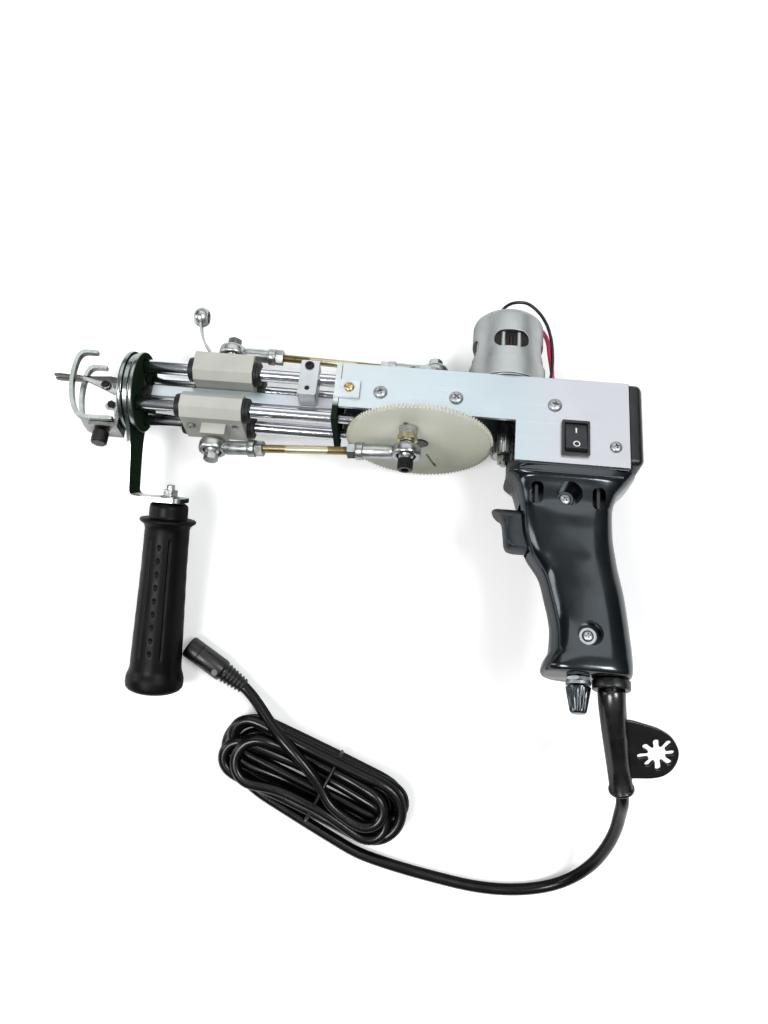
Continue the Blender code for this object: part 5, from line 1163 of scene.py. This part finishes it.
# ---------------------------------------------------------------------------
# needle with its split tip, scissor blades and the plate that carries them
# ---------------------------------------------------------------------------
needle_line = [(-174.6, 8.5), (-173.6, 9.0), (-170.0, 9.3), (-158.0, 8.7), (-150.0, 8.8), (-140.0, 9.6), (-134.0, 8.8), (-126.0, 5.6),
               (-118.0, 3.0), (-100.0, 2.8), (-60.0, 2.6), (-60.0, -4.2), (-95.0, -4.2), (-100.0, -1.4), (-118.0, -0.8),
               (-126.0, 1.4), (-134.0, 4.4), (-146.0, 5.6), (-158.0, 5.9), (-170.0, 5.7), (-172.9, 6.1), (-172.0, 6.6), (-152.0, 6.7),
               (-151.4, 7.4), (-152.0, 8.0), (-172.0, 8.25)]
stand("needle", "needle_split", prism(needle_line, 'xy', -3.6, -0.4), "lower_carriage", "needle_steel", bevel=0.2)
fixed_line = [(-160.0, 7.2), (-154.0, 5.2), (-146.0, 2.6), (-138.0, -0.6), (-132.0, -2.6), (-126.0, -3.4), (-112.0, -3.2), (-112.0, 3.8),
              (-120.0, 3.8), (-128.0, 3.4), (-136.0, 3.4), (-144.0, 4.6), (-152.0, 6.2)]
stand("scissor_blade_fixed", "scissor_fixed", prism(fixed_line, 'xy', 0.9, 2.3), "machine", "dark_steel", bevel=0.2,
      joins=[turned((-139.0, 0.6, 0), (0, 0, 1), [(1.2, 1.4), (4.3, 1.4), (4.3, 3.0), (4.6, 3.1), (5.2, 2.9), (5.6, 2.3)], 48)])
moving_line = [(-159.5, 7.0), (-153.0, 3.6), (-147.0, 1.0), (-134.0, -4.4), (-126.0, -6.6), (-125.8, -4.4), (-131.0, -2.0),
               (-134.4, -0.6), (-135.6, 1.4), (-136.9, 2.6), (-139.0, 3.1), (-141.5, 3.0), (-147.0, 3.9), (-153.0, 5.6)]
stand("scissor_blade_moving", "scissor_moving", prism(moving_line, 'xy', 2.6, 4.0), "moving_blade", "blade", bevel=0.25,
      cuts=[turned((-139.0, 0.6, -5), (0, 0, 1), [(0, 1.7), (20, 1.7)], 36)])
socket_screw("scissor_screw", (-139.0, 0.6, 5.6), (0, 0, 1), 2.4, "machine", "black_steel", 1.0, 0.5, False)
piece("scissor_plate", prism([(-125.7, -7.6), (-131.6, -8.0), (-137.4, -9.6), (-138.2, -11.2), (-137.2, -12.8), (-133.4, -13.0),
                              (-131.8, -14.6), (-131.2, -17.6), (-129.8, -18.6), (-125.7, -18.8)], 'xy', -1.2, 1.4), "machine",
      "zinc", bevel=0.3)
piece("scissor_plate_nut", turned((-134.2, -10.6, 1.4), (0, 0, 1), [(0, 0), (0, 2.1), (0.3, 2.3), (1.5, 2.3), (1.8, 2.0), (1.8, 0)], 6),
      "machine", "black_steel")

# ---------------------------------------------------------------------------
# presser foot, trigger, rear cover, switch
# ---------------------------------------------------------------------------
outer = smooth_curve([(-128.7, -24.4, 0), (-146.0, -24.4, 0), (-149.2, -23.4, 0), (-151.6, -20.9, 0), (-155.2, -14.5, 0),
                      (-158.4, -2.6, 0), (-159.3, 7.6, 0), (-158.9, 14.4, 0), (-157.6, 18.4, 0), (-155.0, 20.3, 0),
                      (-151.6, 20.5, 0), (-146.5, 20.4, 0)], 1.0)
inner = smooth_curve([(-146.5, 18.3, 0), (-151.8, 18.4, 0), (-154.0, 18.0, 0), (-155.7, 16.6, 0), (-156.7, 13.6, 0),
                      (-157.0, 7.8, 0), (-156.2, -2.0, 0), (-153.0, -13.5, 0), (-149.6, -19.4, 0), (-147.6, -21.6, 0),
                      (-144.6, -22.2, 0), (-128.7, -22.2, 0)], 1.0)
slot_cut = [(-129.0 + x, z) for x, z in rounded(-10.5, 10.5, -2.3, 2.3, 2.25, 6)]
stand("presser_foot", "presser_foot_bow", prism([(q.x, q.y) for q in outer + inner], 'xy', -10.0, 10.0), "foot", "foot_steel",
      smooth=30, bevel=0.3, cuts=[block(-165, -148.2, -30, 30, -6.4, 6.4), block(-150, -140, 8, 30, -6.4, 6.4), prism(slot_cut, 'xz', -30, -15)])

TRIGGER_MID = [(118.0, -58.5), (103.0, -57.2), (93.0, -57.2), (90.6, -57.4), (89.6, -58.2), (90.2, -59.0), (93.0, -61.0),
               (95.2, -65.0), (96.2, -72.0), (97.0, -78.0), (97.9, -79.8), (99.6, -80.5), (110.0, -80.6), (118.0, -78.6)]
TRIGGER_SIDE = [(118.0, -60.4), (104.0, -59.4), (95.2, -59.4), (93.4, -59.6), (92.6, -60.0), (93.2, -60.8), (96.0, -62.6),
                (98.2, -66.5), (99.0, -72.0), (99.6, -77.4), (100.4, -78.7), (101.6, -79.3), (110.0, -79.4), (118.0, -77.4)]
mid = smooth_curve([(x, y, 0) for x, y in TRIGGER_MID], 1.1)
k = len(mid)
sid = smooth_curve([(x, y, 0) for x, y in TRIGGER_SIDE], 0.9)
sid = [sid[int(round(i * (len(sid) - 1) / (k - 1)))] for i in range(k)]
verts, faces, steps = [], [], 16
for i in range(steps + 1):
    z = -6.7 * math.cos(math.pi * i / steps)
    f = (1.0 - abs(z / 6.7) ** 2.6)
    verts += [(q.x * (1 - f) + m.x * f, q.y * (1 - f) + m.y * f, z) for q, m in zip(sid, mid)]
for i in range(steps):
    for j in range(k):
        j2 = (j + 1) % k
        faces.append((i * k + j, i * k + j2, (i + 1) * k + j2, (i + 1) * k + j))
faces += [tuple(range(k - 1, -1, -1)), tuple(range(steps * k, (steps + 1) * k))]
stand("trigger", "trigger_shoe", (verts, faces), "trigger", "grey_plastic", smooth=60)

tray = []
for x, dy, dz in ((161.5, 0.0, 0.0), (165.6, 0.0, 0.0), (166.8, 0.35, 0.35), (167.9, 1.1, 1.1), (168.6, 2.1, 2.1),
                  (168.8, 3.2, 3.2)):
    tray.append([(x, y, z) for y, z in rounded(-32.2 + dy, 18.2 - dy, -20.4 + dz, 20.4 - dz, max(0.8, 3.4 - 0.3 * dy), 8)])
for x in (166.7, 161.5):
    tray.append([(x, y, z) for y, z in rounded(-29.9, 15.9, -18.1, 18.1, 2.0, 8)])
k = len(tray[0])
verts = [q for ring in tray for q in ring]
faces = [(i * k + j, i * k + (j + 1) % k, ((i + 1) % 8) * k + (j + 1) % k, ((i + 1) % 8) * k + j)
         for i in (0, 1, 2, 3, 4, 6, 7) for j in range(k)]
faces += [tuple(range(5 * k, 6 * k)), tuple(range(6 * k, 7 * k))]
stand("rear_cover", "rear_cover_tray", (verts, faces), "machine", "black_plastic", smooth=35)

SWITCH_X, SWITCH_Y = 131.5, -19.6
stand("rocker_switch_case", "switch_frame", prism(rounded(SWITCH_X - 7.6, SWITCH_X + 7.6, SWITCH_Y - 10.6, SWITCH_Y + 10.6, 0.9, 6),
      'xy', 20.3, 22.2), "machine", "switch_grey", bevel=0.35,
      joins=[block(SWITCH_X - 6.5, SWITCH_X + 6.5, SWITCH_Y - 9.4, SWITCH_Y + 9.4, 8.0, 21.0)],
      cuts=[prism(rounded(SWITCH_X - 6.15, SWITCH_X + 6.15, SWITCH_Y - 9.1, SWITCH_Y + 9.1, 0.5, 4), 'xy', 15.0, 26.0)])
rocker_line = [(-8.5, 20.6), (-7.9, 22.4), (-7.5, 23.4), (-7.0, 23.85), (-6.4, 23.75), (-4.0, 23.25), (-0.8, 22.85), (0.8, 22.65),
               (4.0, 22.2), (7.8, 21.75), (8.4, 21.5), (8.6, 21.1), (8.6, 18.8), (2.0, 17.0), (-2.0, 17.0), (-8.5, 18.8)]
stand("rocker", "rocker_cap", prism([(SWITCH_Y + y, z) for y, z in rocker_line], 'yz', SWITCH_X - 5.85, SWITCH_X + 5.85), "rocker",
      "switch_grey", smooth=40, bevel=0.35)


def on_rocker(y, lift):
    """Height of the rocker's face at y from its middle."""
    top = rocker_line[3:11]
    for (y0, z0), (y1, z1) in zip(top[:-1], top[1:]):
        if y0 <= y <= y1:
            return z0 + (z1 - z0) * (y - y0) / (y1 - y0) + lift
    return top[-1][1] + lift


bar = [(dx, 4.2 + dy) for dx in (-0.38, 0.38) for dy in (-1.6, -0.8, 0.0, 0.8, 1.6)]
verts = [(SWITCH_X + x, SWITCH_Y + y, on_rocker(y, 0.0)) for x, y in bar] + \
        [(SWITCH_X + x, SWITCH_Y + y, on_rocker(y, 0.07)) for x, y in bar]
faces = []
for i in range(4):
    faces += [(i, i + 1, i + 6, i + 5), (10 + i, 10 + i + 5, 10 + i + 6, 10 + i + 1), (i, 10 + i, 11 + i, i + 1),
              (i + 5, i + 6, i + 16, i + 15)]
faces += [(0, 5, 15, 10), (4, 14, 19, 9)]
piece("switch_mark_on", (verts, faces), "rocker", "white_ink")
verts, faces = [], []
for k in range(40):
    t = 2 * math.pi * k / 40
    for r, lift in ((1.9, 0.0), (1.9, 0.07), (1.3, 0.07), (1.3, 0.0)):
        y = -4.6 + r * math.sin(t)
        verts.append((SWITCH_X + r * math.cos(t), SWITCH_Y + y, on_rocker(y, lift)))
for k in range(40):
    k2 = (k + 1) % 40
    for j in range(4):
        j2 = (j + 1) % 4
        faces.append((4 * k + j, 4 * k + j2, 4 * k2 + j2, 4 * k2 + j))
piece("switch_mark_off", (verts, faces), "rocker", "white_ink")

# ---------------------------------------------------------------------------
# cord outlet: gland, neck, drooping sleeve with its bead, key holder
# ---------------------------------------------------------------------------
GLAND = Vector((153.9, -145.4, 0.0))
stand("cord_gland", "cord_gland_ring", turned(GLAND, (0, -1, 0), [
    (0.4, 5.3), (0.4, 9.2), (0.6, 9.5), (0.9, 9.65), (4.7, 9.65), (5.1, 9.5), (5.4, 9.1), (5.4, 5.3)],
    96, ring=True), "machine", "black_plastic", smooth=35)
e_dir = (Vector((1, 0, 0)) - sleeve_dir * sleeve_dir.x).normalized()
n_dir = sleeve_dir.cross(e_dir)


def bent(points, profile, n=72):
    """A turned shape whose axis follows a curve; the profile holds (distance along it, radius)."""
    path = smooth_curve(points, 0.5)
    run = [0.0]
    for p, q in zip(path[:-1], path[1:]):
        run.append(run[-1] + (q - p).length)
    side = Vector((1, 0, 0))
    verts, faces = [], []
    for s, r in profile:
        s = min(max(s if s >= 0 else run[-1] + s, 0.0), run[-1])
        i = min(max(next((k for k, v in enumerate(run) if v >= s), 1), 1), len(run) - 1)
        f = (s - run[i - 1]) / max(run[i] - run[i - 1], 1e-9)
        centre = path[i - 1].lerp(path[i], f)
        lo, hi = max(i - 4, 0), min(i + 3, len(path) - 1)
        d = (path[hi] - path[lo]).normalized()
        u = (side - d * side.dot(d)).normalized()
        v = d.cross(u)
        for k in range(n):
            t = 2 * math.pi * k / n
            verts.append(tuple(centre + (u * math.cos(t) + v * math.sin(t)) * r))
    rings = len(profile)
    for j in range(rings - 1):
        for k in range(n):
            k2 = (k + 1) % n
            faces.append((j * n + k, j * n + k2, (j + 1) * n + k2, (j + 1) * n + k))
    faces.append(tuple(range(n - 1, -1, -1)))
    faces.append(tuple(range((rings - 1) * n, rings * n)))
    return verts, faces


sleeve_path = [(153.9, -139.4, 0.0), (153.9, -145.4, 0.0), (153.9, -150.6, 0.0), (154.4, -155.4, -1.4), (155.8, -161.0, -5.4),
               (158.2, -168.4, -12.0), (161.7, -178.2, -21.4), (165.3, -188.0, -30.9), tuple(SLEEVE_B)]
sleeve_profile = [(0.1, 4.4), (0.6, 4.8), (11.6, 4.8), (11.7, 6.6), (12.0, 6.9), (12.6, 7.0)]
sleeve_profile += [(14.0 + 3.4 * i, 7.0 - 0.075 * i) for i in range(13)]
sleeve_profile += [(-5.9, 5.95), (-5.7, 6.15), (-5.6, 6.5), (-5.3, 6.7), (-4.2, 6.72), (-3.7, 6.5), (-3.5, 6.1), (-3.5, 3.7)]
stand("cord_guard", "cord_sleeve", bent(sleeve_path, sleeve_profile), "machine", "sleeve_rubber", smooth=50)


def flap_prism(outline, w0, w1):
    k = len(outline)
    verts = []
    for w in (w0, w1):
        verts += [tuple(SLEEVE_A + sleeve_dir * a + e_dir * b + n_dir * w) for a, b in outline]
    faces = [tuple(range(k - 1, -1, -1)), tuple(range(k, 2 * k))]
    faces += [(i, (i + 1) % k, k + (i + 1) % k, k + i) for i in range(k)]
    return verts, faces


flap = smooth_curve([(14.6, 3.0, 0), (15.2, 7.4, 0), (18.5, 14.5, 0), (22.7, 22.0, 0), (28.5, 27.6, 0), (37.5, 30.3, 0),
                     (46.0, 27.4, 0), (50.4, 22.2, 0), (51.4, 17.0, 0), (50.4, 7.4, 0), (50.0, 3.0, 0)], 1.0)
star = []
for i in range(8):
    c, t = math.cos(math.pi * i / 4), math.sin(math.pi * i / 4)
    far = 7.9 + 0.7 * math.sin(2.3 * i + 0.8)
    arm_line = [(4.8, -1.25), (far, -1.45)] + [(far + 1.45 * math.sin(math.pi * j / 8), -1.45 * math.cos(math.pi * j / 8))
                                              for j in range(1, 8)] + [(far, 1.45), (4.8, 1.25)]
    star += [(36.8 + a * c - b * t, 19.2 + a * t + b * c) for a, b in arm_line]
    v = math.pi * (i + 0.5) / 4
    star.append((36.8 + 4.6 * math.cos(v), 19.2 + 4.6 * math.sin(v)))
key_flap = raw("key_holder_flap", *flap_prism([(q.x, q.y) for q in flap], -1.0, 1.0))
cut(key_flap, raw("tool", *flap_prism(star, -4.0, 4.0)))
finish(key_flap, "machine", "sleeve_rubber", 30, 0.35)

# ---------------------------------------------------------------------------
# side handle: grained rubber with grooves and a row of dimples
# ---------------------------------------------------------------------------
hx = (Vector((1, 0, 0)) - handle_dir * handle_dir.x).normalized()
ht = hx.cross(handle_dir)
if ht.dot(TDIR) < 0:
    ht = -ht
HANDLE = [(0.4, 9.0), (0.7, 9.8), (1.6, 10.8), (2.6, 11.2), (8.6, 11.3), (9.3, 11.6), (9.8, 14.6), (10.1, 15.9),
          (10.6, 16.4), (11.5, 16.4), (12.3, 15.8), (13.0, 14.5), (14.2, 13.5), (16.5, 13.1), (40.0, 13.4),
          (80.0, 14.7), (97.0, 15.2), (100.5, 15.35), (102.5, 15.8), (104.5, 16.6), (106.4, 17.05), (109.5, 17.15), (111.6, 16.9),
          (113.0, 15.8), (113.8, 14.4), (114.2, 12.6), (114.2, 6.0), (113.6, 5.4), (113.6, 0.0)]


def handle_shape():
    rows = []
    for (s0, r0), (s1, r1) in zip(HANDLE[:-1], HANDLE[1:]):
        steps = max(1, int(abs(s1 - s0) / 0.9))
        for k in range(steps):
            rows.append((s0 + (s1 - s0) * k / steps, r0 + (r1 - r0) * k / steps))
    rows.append(HANDLE[-1])
    n = 240
    verts, faces, index = [], [], []
    for s, r in rows:
        if r < 1e-6:
            index.append([len(verts)])
            verts.append(tuple(handle_origin + handle_dir * s))
            continue
        row = []
        for k in range(n):
            a = 2 * math.pi * k / n
            depth = 0.0
            if 15.0 < s < 100.0:
                for side in (0.0, math.pi):
                    da = (a - side + math.pi) % (2 * math.pi) - math.pi
                    arc = r * da
                    # two long grooves
                    fade = min(1.0, max(0.0, (s - 21.0) / 2.0)) * min(1.0, max(0.0, (93.0 - s) / 2.0))
                    for centre in (-1, 1):
                        g = arc - centre * r * math.radians(26.0)
                        depth += 0.9 * math.exp(-(g / 0.5) ** 2) * fade
                    # nine dimples
                    for j in range(9):
                        sj = 26.0 + 7.9 * j
                        q = ((arc / 1.1) ** 2 + ((s - sj) / 1.1) ** 2)
                        if q < 6:
                            depth += 0.7 * math.exp(-q ** 2)
                # shallow finger panels between the grooves
                for side in (math.pi / 2, -math.pi / 2):
                    da = (a - side + math.pi) % (2 * math.pi) - math.pi
                    if abs(da) < math.radians(40):
                        depth += 0.18 * (0.5 - 0.5 * math.cos(2 * math.pi * (s - 21) / 12.0)) * (1 - abs(da) / math.radians(40))
            rr = r - depth
            row.append(len(verts))
            verts.append(tuple(handle_origin + handle_dir * s + ht * (rr * math.cos(a)) + hx * (rr * math.sin(a))))
        index.append(row)
    for a, b in zip(index[:-1], index[1:]):
        for k in range(n):
            k2 = (k + 1) % n
            if len(b) == 1:
                faces.append((a[k], a[k2], b[0]))
            else:
                faces.append((a[k], a[k2], b[k2], b[k]))
    faces.append(tuple(reversed(index[0])))
    return verts, faces


side_handle = piece("side_handle_grip", handle_shape(), "side_handle", "handle_rubber", smooth=50)
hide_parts("front_handle")
piece("side_handle_stud", turned(handle_origin, handle_dir, [(-10.4, 1.9), (-9.9, 2.4), (2.0, 2.4)], 32), "side_handle",
      "zinc")
hex_nut("side_handle_nut", handle_origin - handle_dir * 3.2, -handle_dir, 8.0, 4.4, "side_handle", "chrome",
        spin=0.4)
washer("side_handle_washer", handle_origin - handle_dir * 2.95, -handle_dir, 5.6, 2.4, 0.6, "side_handle", "nickel",
       "chrome")

# ---------------------------------------------------------------------------
# pistol grip
# ---------------------------------------------------------------------------
# level, front strap, rear strap, half thickness, squareness of the section
GRIP = [(-35.3, 97.0, 166.4, 19.6, 4.4), (-38.5, 96.2, 164.1, 19.6, 4.4), (-40.6, 98.6, 162.3, 19.5, 4.4),
        (-42.0, 100.2, 161.2, 18.3, 4.2), (-48.5, 102.6, 156.4, 17.5, 4.2), (-56.6, 104.2, 154.2, 16.7, 3.9),
        (-58.6, 104.4, 154.1, 17.1, 3.7), (-70.5, 105.7, 154.6, 16.4, 3.2), (-83.0, 109.4, 156.4, 15.8, 2.8),
        (-88.0, 112.7, 157.3, 15.5, 2.7), (-94.0, 116.2, 158.6, 15.35, 2.6), (-104.0, 119.0, 160.6, 15.2, 2.6), (-123.0, 122.6, 162.7, 15.6, 2.7),
        (-133.0, 122.0, 163.6, 16.2, 2.8), (-139.0, 119.2, 163.7, 16.7, 3.0), (-142.6, 118.4, 163.5, 16.6, 3.1),
        (-144.8, 119.4, 162.9, 15.9, 3.1), (-145.4, 120.8, 162.0, 15.0, 3.1)]


def monotone(xs, ys, x):
    """Shape-keeping cubic interpolation."""
    n = len(xs)
    h = [xs[i + 1] - xs[i] for i in range(n - 1)]
    d = [(ys[i + 1] - ys[i]) / h[i] for i in range(n - 1)]
    m = [d[0]] + [0.0] * (n - 2) + [d[-1]]
    for i in range(1, n - 1):
        if d[i - 1] * d[i] > 0:
            w1, w2 = 2 * h[i] + h[i - 1], h[i] + 2 * h[i - 1]
            m[i] = (w1 + w2) / (w1 / d[i - 1] + w2 / d[i])
    for i in range(n - 1):
        if x <= xs[i + 1] or i == n - 2:
            t = (x - xs[i]) / h[i]
            return ((1 + 2 * t) * (1 - t) ** 2 * ys[i] + t * (1 - t) ** 2 * h[i] * m[i]
                    + t * t * (3 - 2 * t) * ys[i + 1] + t * t * (t - 1) * h[i] * m[i + 1])


LEVELS = [-row[0] for row in GRIP]


def grip_section(level):
    return [monotone(LEVELS, [row[j] for row in GRIP], level) for j in (1, 2, 3, 4)]


def grip_solid(name, side):
    levels = []
    y = LEVELS[0]
    while y < LEVELS[-1] - 0.2:
        levels.append(y)
        y += 0.6 if (38 < y < 43 or 55 < y < 60 or y > 139) else 1.5
    levels.append(LEVELS[-1])
    pts = 56
    verts, faces = [], []
    for y in levels:
        xf, xr, hz, square = grip_section(y)
        xc, a = (xf + xr) / 2.0, (xr - xf) / 2.0
        e = 2.0 / square
        for k in range(pts):
            t = math.pi * k / (pts - 1)
            # points crowd where the section turns fastest
            t = t - 0.16 * math.sin(4 * t) * 0.5
            ca, sa = math.cos(t), math.sin(t)
            x = xc - a * math.copysign(abs(ca) ** e, ca)
            z = hz * max(abs(sa), 0.0) ** e
            z = max(z, 0.0) + 0.12
            verts.append((x, -y, side * z))
    rows = len(levels)
    for i in range(rows - 1):
        for k in range(pts):
            k2 = (k + 1) % pts
            faces.append((i * pts + k, i * pts + k2, (i + 1) * pts + k2, (i + 1) * pts + k))
    faces.append(tuple(range(pts)))
    faces.append(tuple(range((rows - 1) * pts, rows * pts)))
    return raw(name, verts, faces)


for label, side in (("left", 1), ("right", -1)):
    half = grip_solid("grip_shell_" + label, side)

    def span(lo, hi):
        return (lo * side, hi * side) if side > 0 else (hi * side, lo * side)

    z0, z1 = span(9.0, 30.0)
    tools = [raw("t1", *prism(rounded(108.2, 115.2, -57.6, -45.2, 3.2, 8), 'xy', z0, z1)),
             raw("t2", *prism(rounded(141.2, 148.6, -59.2, -46.4, 3.4, 8), 'xy', z0, z1)),
             raw("t3", *turned((129.2, -51.0, 9.0 * side), (0, 0, side), [(0, 6.7), (30, 6.9)], 48)),
             raw("t4", *turned((140.0, -126.1, 10.5 * side), (0, 0, side), [(0, 5.8), (3.6, 5.9), (5.4, 6.6), (12, 9.0)], 48)),
             raw("t5", *block(90, 112, -82.6, -55.0, -7.4, 7.4))]
    cut(half, *tools)
    finish(half, "machine", "gloss_black", 38)
    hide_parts("grip_half_" + label)
    # ribs inside the two pockets
    for j, (x0, x1) in enumerate(((110.9, 112.7), (144.0, 145.9))):
        lo, hi = span(8.8, 14.6)
        piece("grip_rib_%s_%d" % (label, j + 1), prism(rounded(x0, x1, -57.9, -46.0, 0.6, 3), 'xy', lo, hi), "machine",
              "grey_plastic", bevel=0.15)
    # pocket floor pieces: screw boss and screws
    piece("grip_boss_" + label, turned((127.2, -53.4, 8.6 * side), (0, 0, side), [
        (0, 4.9), (5.0, 4.8), (5.6, 4.3), (5.6, 2.6)], 48), "machine", "gloss_black", bevel=0.1)
    cross_screw("grip_screw_upper_" + label, (127.0, -53.8, 14.2 * side), (0, 0, side), 3.4, "machine", spin=0.7)
    cross_screw("grip_screw_lower_" + label, (139.7, -126.6, 10.9 * side), (0, 0, side), 3.0, "machine", washer=4.5,
                spin=0.2)

# lip of the grip under the side plates
for label, side in (("left", 1), ("right", -1)):
    lo, hi = (18.9, 19.9) if side > 0 else (-19.9, -18.9)
    for j, y in enumerate((-36.4, -40.9)):
        piece("grip_lip_%s_%d" % (label, j + 1), prism(rounded(102.0 + 3.0 * j, 160.5 - 3.0 * j, y, y + 1.0, 0.45, 4), 'xy',
                                                       lo, hi), "machine", "gloss_black", bevel=0.25)

# ---------------------------------------------------------------------------
# speed control
# ---------------------------------------------------------------------------
KNOB = Vector((137.2, -145.4, 0.0))
flutes = 18
knob_prof = [(4.8, 5.4), (5.0, 5.9), (5.4, 6.4), (6.2, 6.3), (17.0, 4.3), (17.8, 3.9), (18.4, 3.2), (18.4, 0.0)]
dense = []
for (s0, r0), (s1, r1) in zip(knob_prof[:-1], knob_prof[1:]):
    for k in range(4):
        dense.append((s0 + (s1 - s0) * k / 4.0, r0 + (r1 - r0) * k / 4.0))
dense.append(knob_prof[-1])
knob = piece("speed_knob_cap", turned(KNOB, (0, -1, 0), [(-6.6, 3.0), (4.7, 3.0)] + dense, 144, wobble=lambda a, s: (
    1.0 - (0.085 * (0.5 + 0.5 * math.cos(a * flutes)) ** 2 if 6.8 < s < 17.6 else 0.0))), "speed_dial", "gloss_black",
    smooth=40)
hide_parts("speed_knob")
hex_nut("speed_knob_nut", KNOB + Vector((0, -0.3, 0)), (0, -1, 0), 11.5, 2.2, "machine", "nickel", bore=3.4,
        spin=0.15)
washer("speed_knob_washer", KNOB + Vector((0, -2.6, 0)), (0, -1, 0), 6.4, 3.4, 1.6, "machine", "nickel", "chrome")

# ---------------------------------------------------------------------------
# nose: screws that hold the two plates and the foot clamp
# ---------------------------------------------------------------------------
for i, (y, z) in enumerate(((12.3, 9.6), (12.3, -9.6), (-12.3, 9.6), (-12.3, -9.6))):
    cross_screw("nose_screw_%d" % (i + 1), (-125.6, y, z), (-1, 0, 0), 3.2, "machine", spin=0.3 + i)
for k in range(1):
    knob2 = piece("foot_thumb_knob", turned((-136.9, -28.0, 0), (0, -1, 0), [
        (0.0, 4.0), (0.3, 4.5), (1.6, 4.6), (5.6, 4.6), (6.9, 4.5), (7.5, 3.9), (7.6, 0.0)], 96,
        wobble=lambda a, s: 1.0 - (0.05 if (0.8 < s < 6.8 and math.cos(a * 24) < 0) else 0.0)), "foot_screw",
        "black_plastic")
    stud2 = piece("foot_thumb_stud", turned((-136.9, -28.0, 0), (0, 1, 0), [(0.0, 1.6), (7.0, 1.6), (7.2, 1.3)], 28),
                  "foot_screw", "dark_steel")
    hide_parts("foot_knob")

# ---------------------------------------------------------------------------
# studio: pale floor, soft light
# ---------------------------------------------------------------------------
floor_mesh = bpy.data.meshes.new("floor")
R = 20.0
floor_mesh.from_pydata([(-R, -R, 0), (R, -R, 0), (R, R, 0), (-R, R, 0)], [], [(0, 1, 2, 3)])
floor = bpy.data.objects.new("floor", floor_mesh)
COLL.objects.link(floor)
floor.location = (0, 0, -0.0002)
s = Shader("floor_paper", (0.93, 0.93, 0.93), 0.9)
s.base(s.noise(6.0, 3.0), [(0.3, (0.925, 0.925, 0.925)), (0.7, (0.94, 0.94, 0.94))])
# paper on a light table, which takes the depth out of the shadows
s.b.inputs['Emission Color'].default_value = (1.0, 1.0, 1.0, 1.0)
s.b.inputs['Emission Strength'].default_value = 0.26
floor_mesh.materials.append(s.mat)


def soft_light(name, place, aim, size_x, size_y, power, colour=(1, 1, 1)):
    data = bpy.data.lights.new(name, 'AREA')
    data.shape = 'RECTANGLE'
    data.size, data.size_y = size_x, size_y
    data.energy = power
    data.color = colour
    obj = bpy.data.objects.new(name, data)
    COLL.objects.link(obj)
    obj.location = place
    obj.rotation_euler = (Vector(aim) - Vector(place)).to_track_quat('-Z', 'Y').to_euler()
    return obj


soft_light("wall", (0.0, 1.05, 0.82), (0.0, 0.0, 0.05), 1.7, 0.9, 6.0, (0.97, 0.985, 1.0))
soft_light("over_left", (-0.50, -0.35, 1.30), (0.0, 0.0, 0.03), 0.45, 0.45, 10.0, (1.0, 0.99, 0.98))
soft_light("over_right", (0.60, 0.10, 1.20), (0.0, 0.0, 0.03), 0.45, 0.35, 8.0, (0.98, 0.99, 1.0))
soft_light("side", (-1.05, 0.05, 0.45), (0.0, 0.0, 0.05), 0.30, 0.60, 2.5)

world = bpy.data.worlds.new("studio")
bpy.context.scene.world = world
world.use_nodes = True
wt = world.node_tree
wt.nodes.clear()
wo = wt.nodes.new('ShaderNodeOutputWorld')
bg = wt.nodes.new('ShaderNodeBackground')
tc = wt.nodes.new('ShaderNodeTexCoord')
sep = wt.nodes.new('ShaderNodeSeparateXYZ')
ramp = wt.nodes.new('ShaderNodeValToRGB')
wt.links.new(tc.outputs['Generated'], sep.inputs[0])
wt.links.new(sep.outputs['Z'], ramp.inputs['Fac'])
wt.links.new(ramp.outputs['Color'], bg.inputs['Color'])
wt.links.new(bg.outputs[0], wo.inputs['Surface'])
stops = [(0.0, (0.06, 0.075, 0.07)), (0.12, (0.035, 0.045, 0.04)), (0.45, (0.09, 0.105, 0.10)), (0.75, (0.26, 0.27, 0.27)),
         (1.0, (0.38, 0.39, 0.40))]
while len(ramp.color_ramp.elements) < len(stops):
    ramp.color_ramp.elements.new(0.5)
for e, (pos, col) in zip(ramp.color_ramp.elements, stops):
    e.position = pos
    e.color = (*col, 1.0)
bg.inputs['Strength'].default_value = 1.0

bpy.context.scene.view_settings.view_transform = 'Standard'
bpy.context.scene.view_settings.look = 'None'
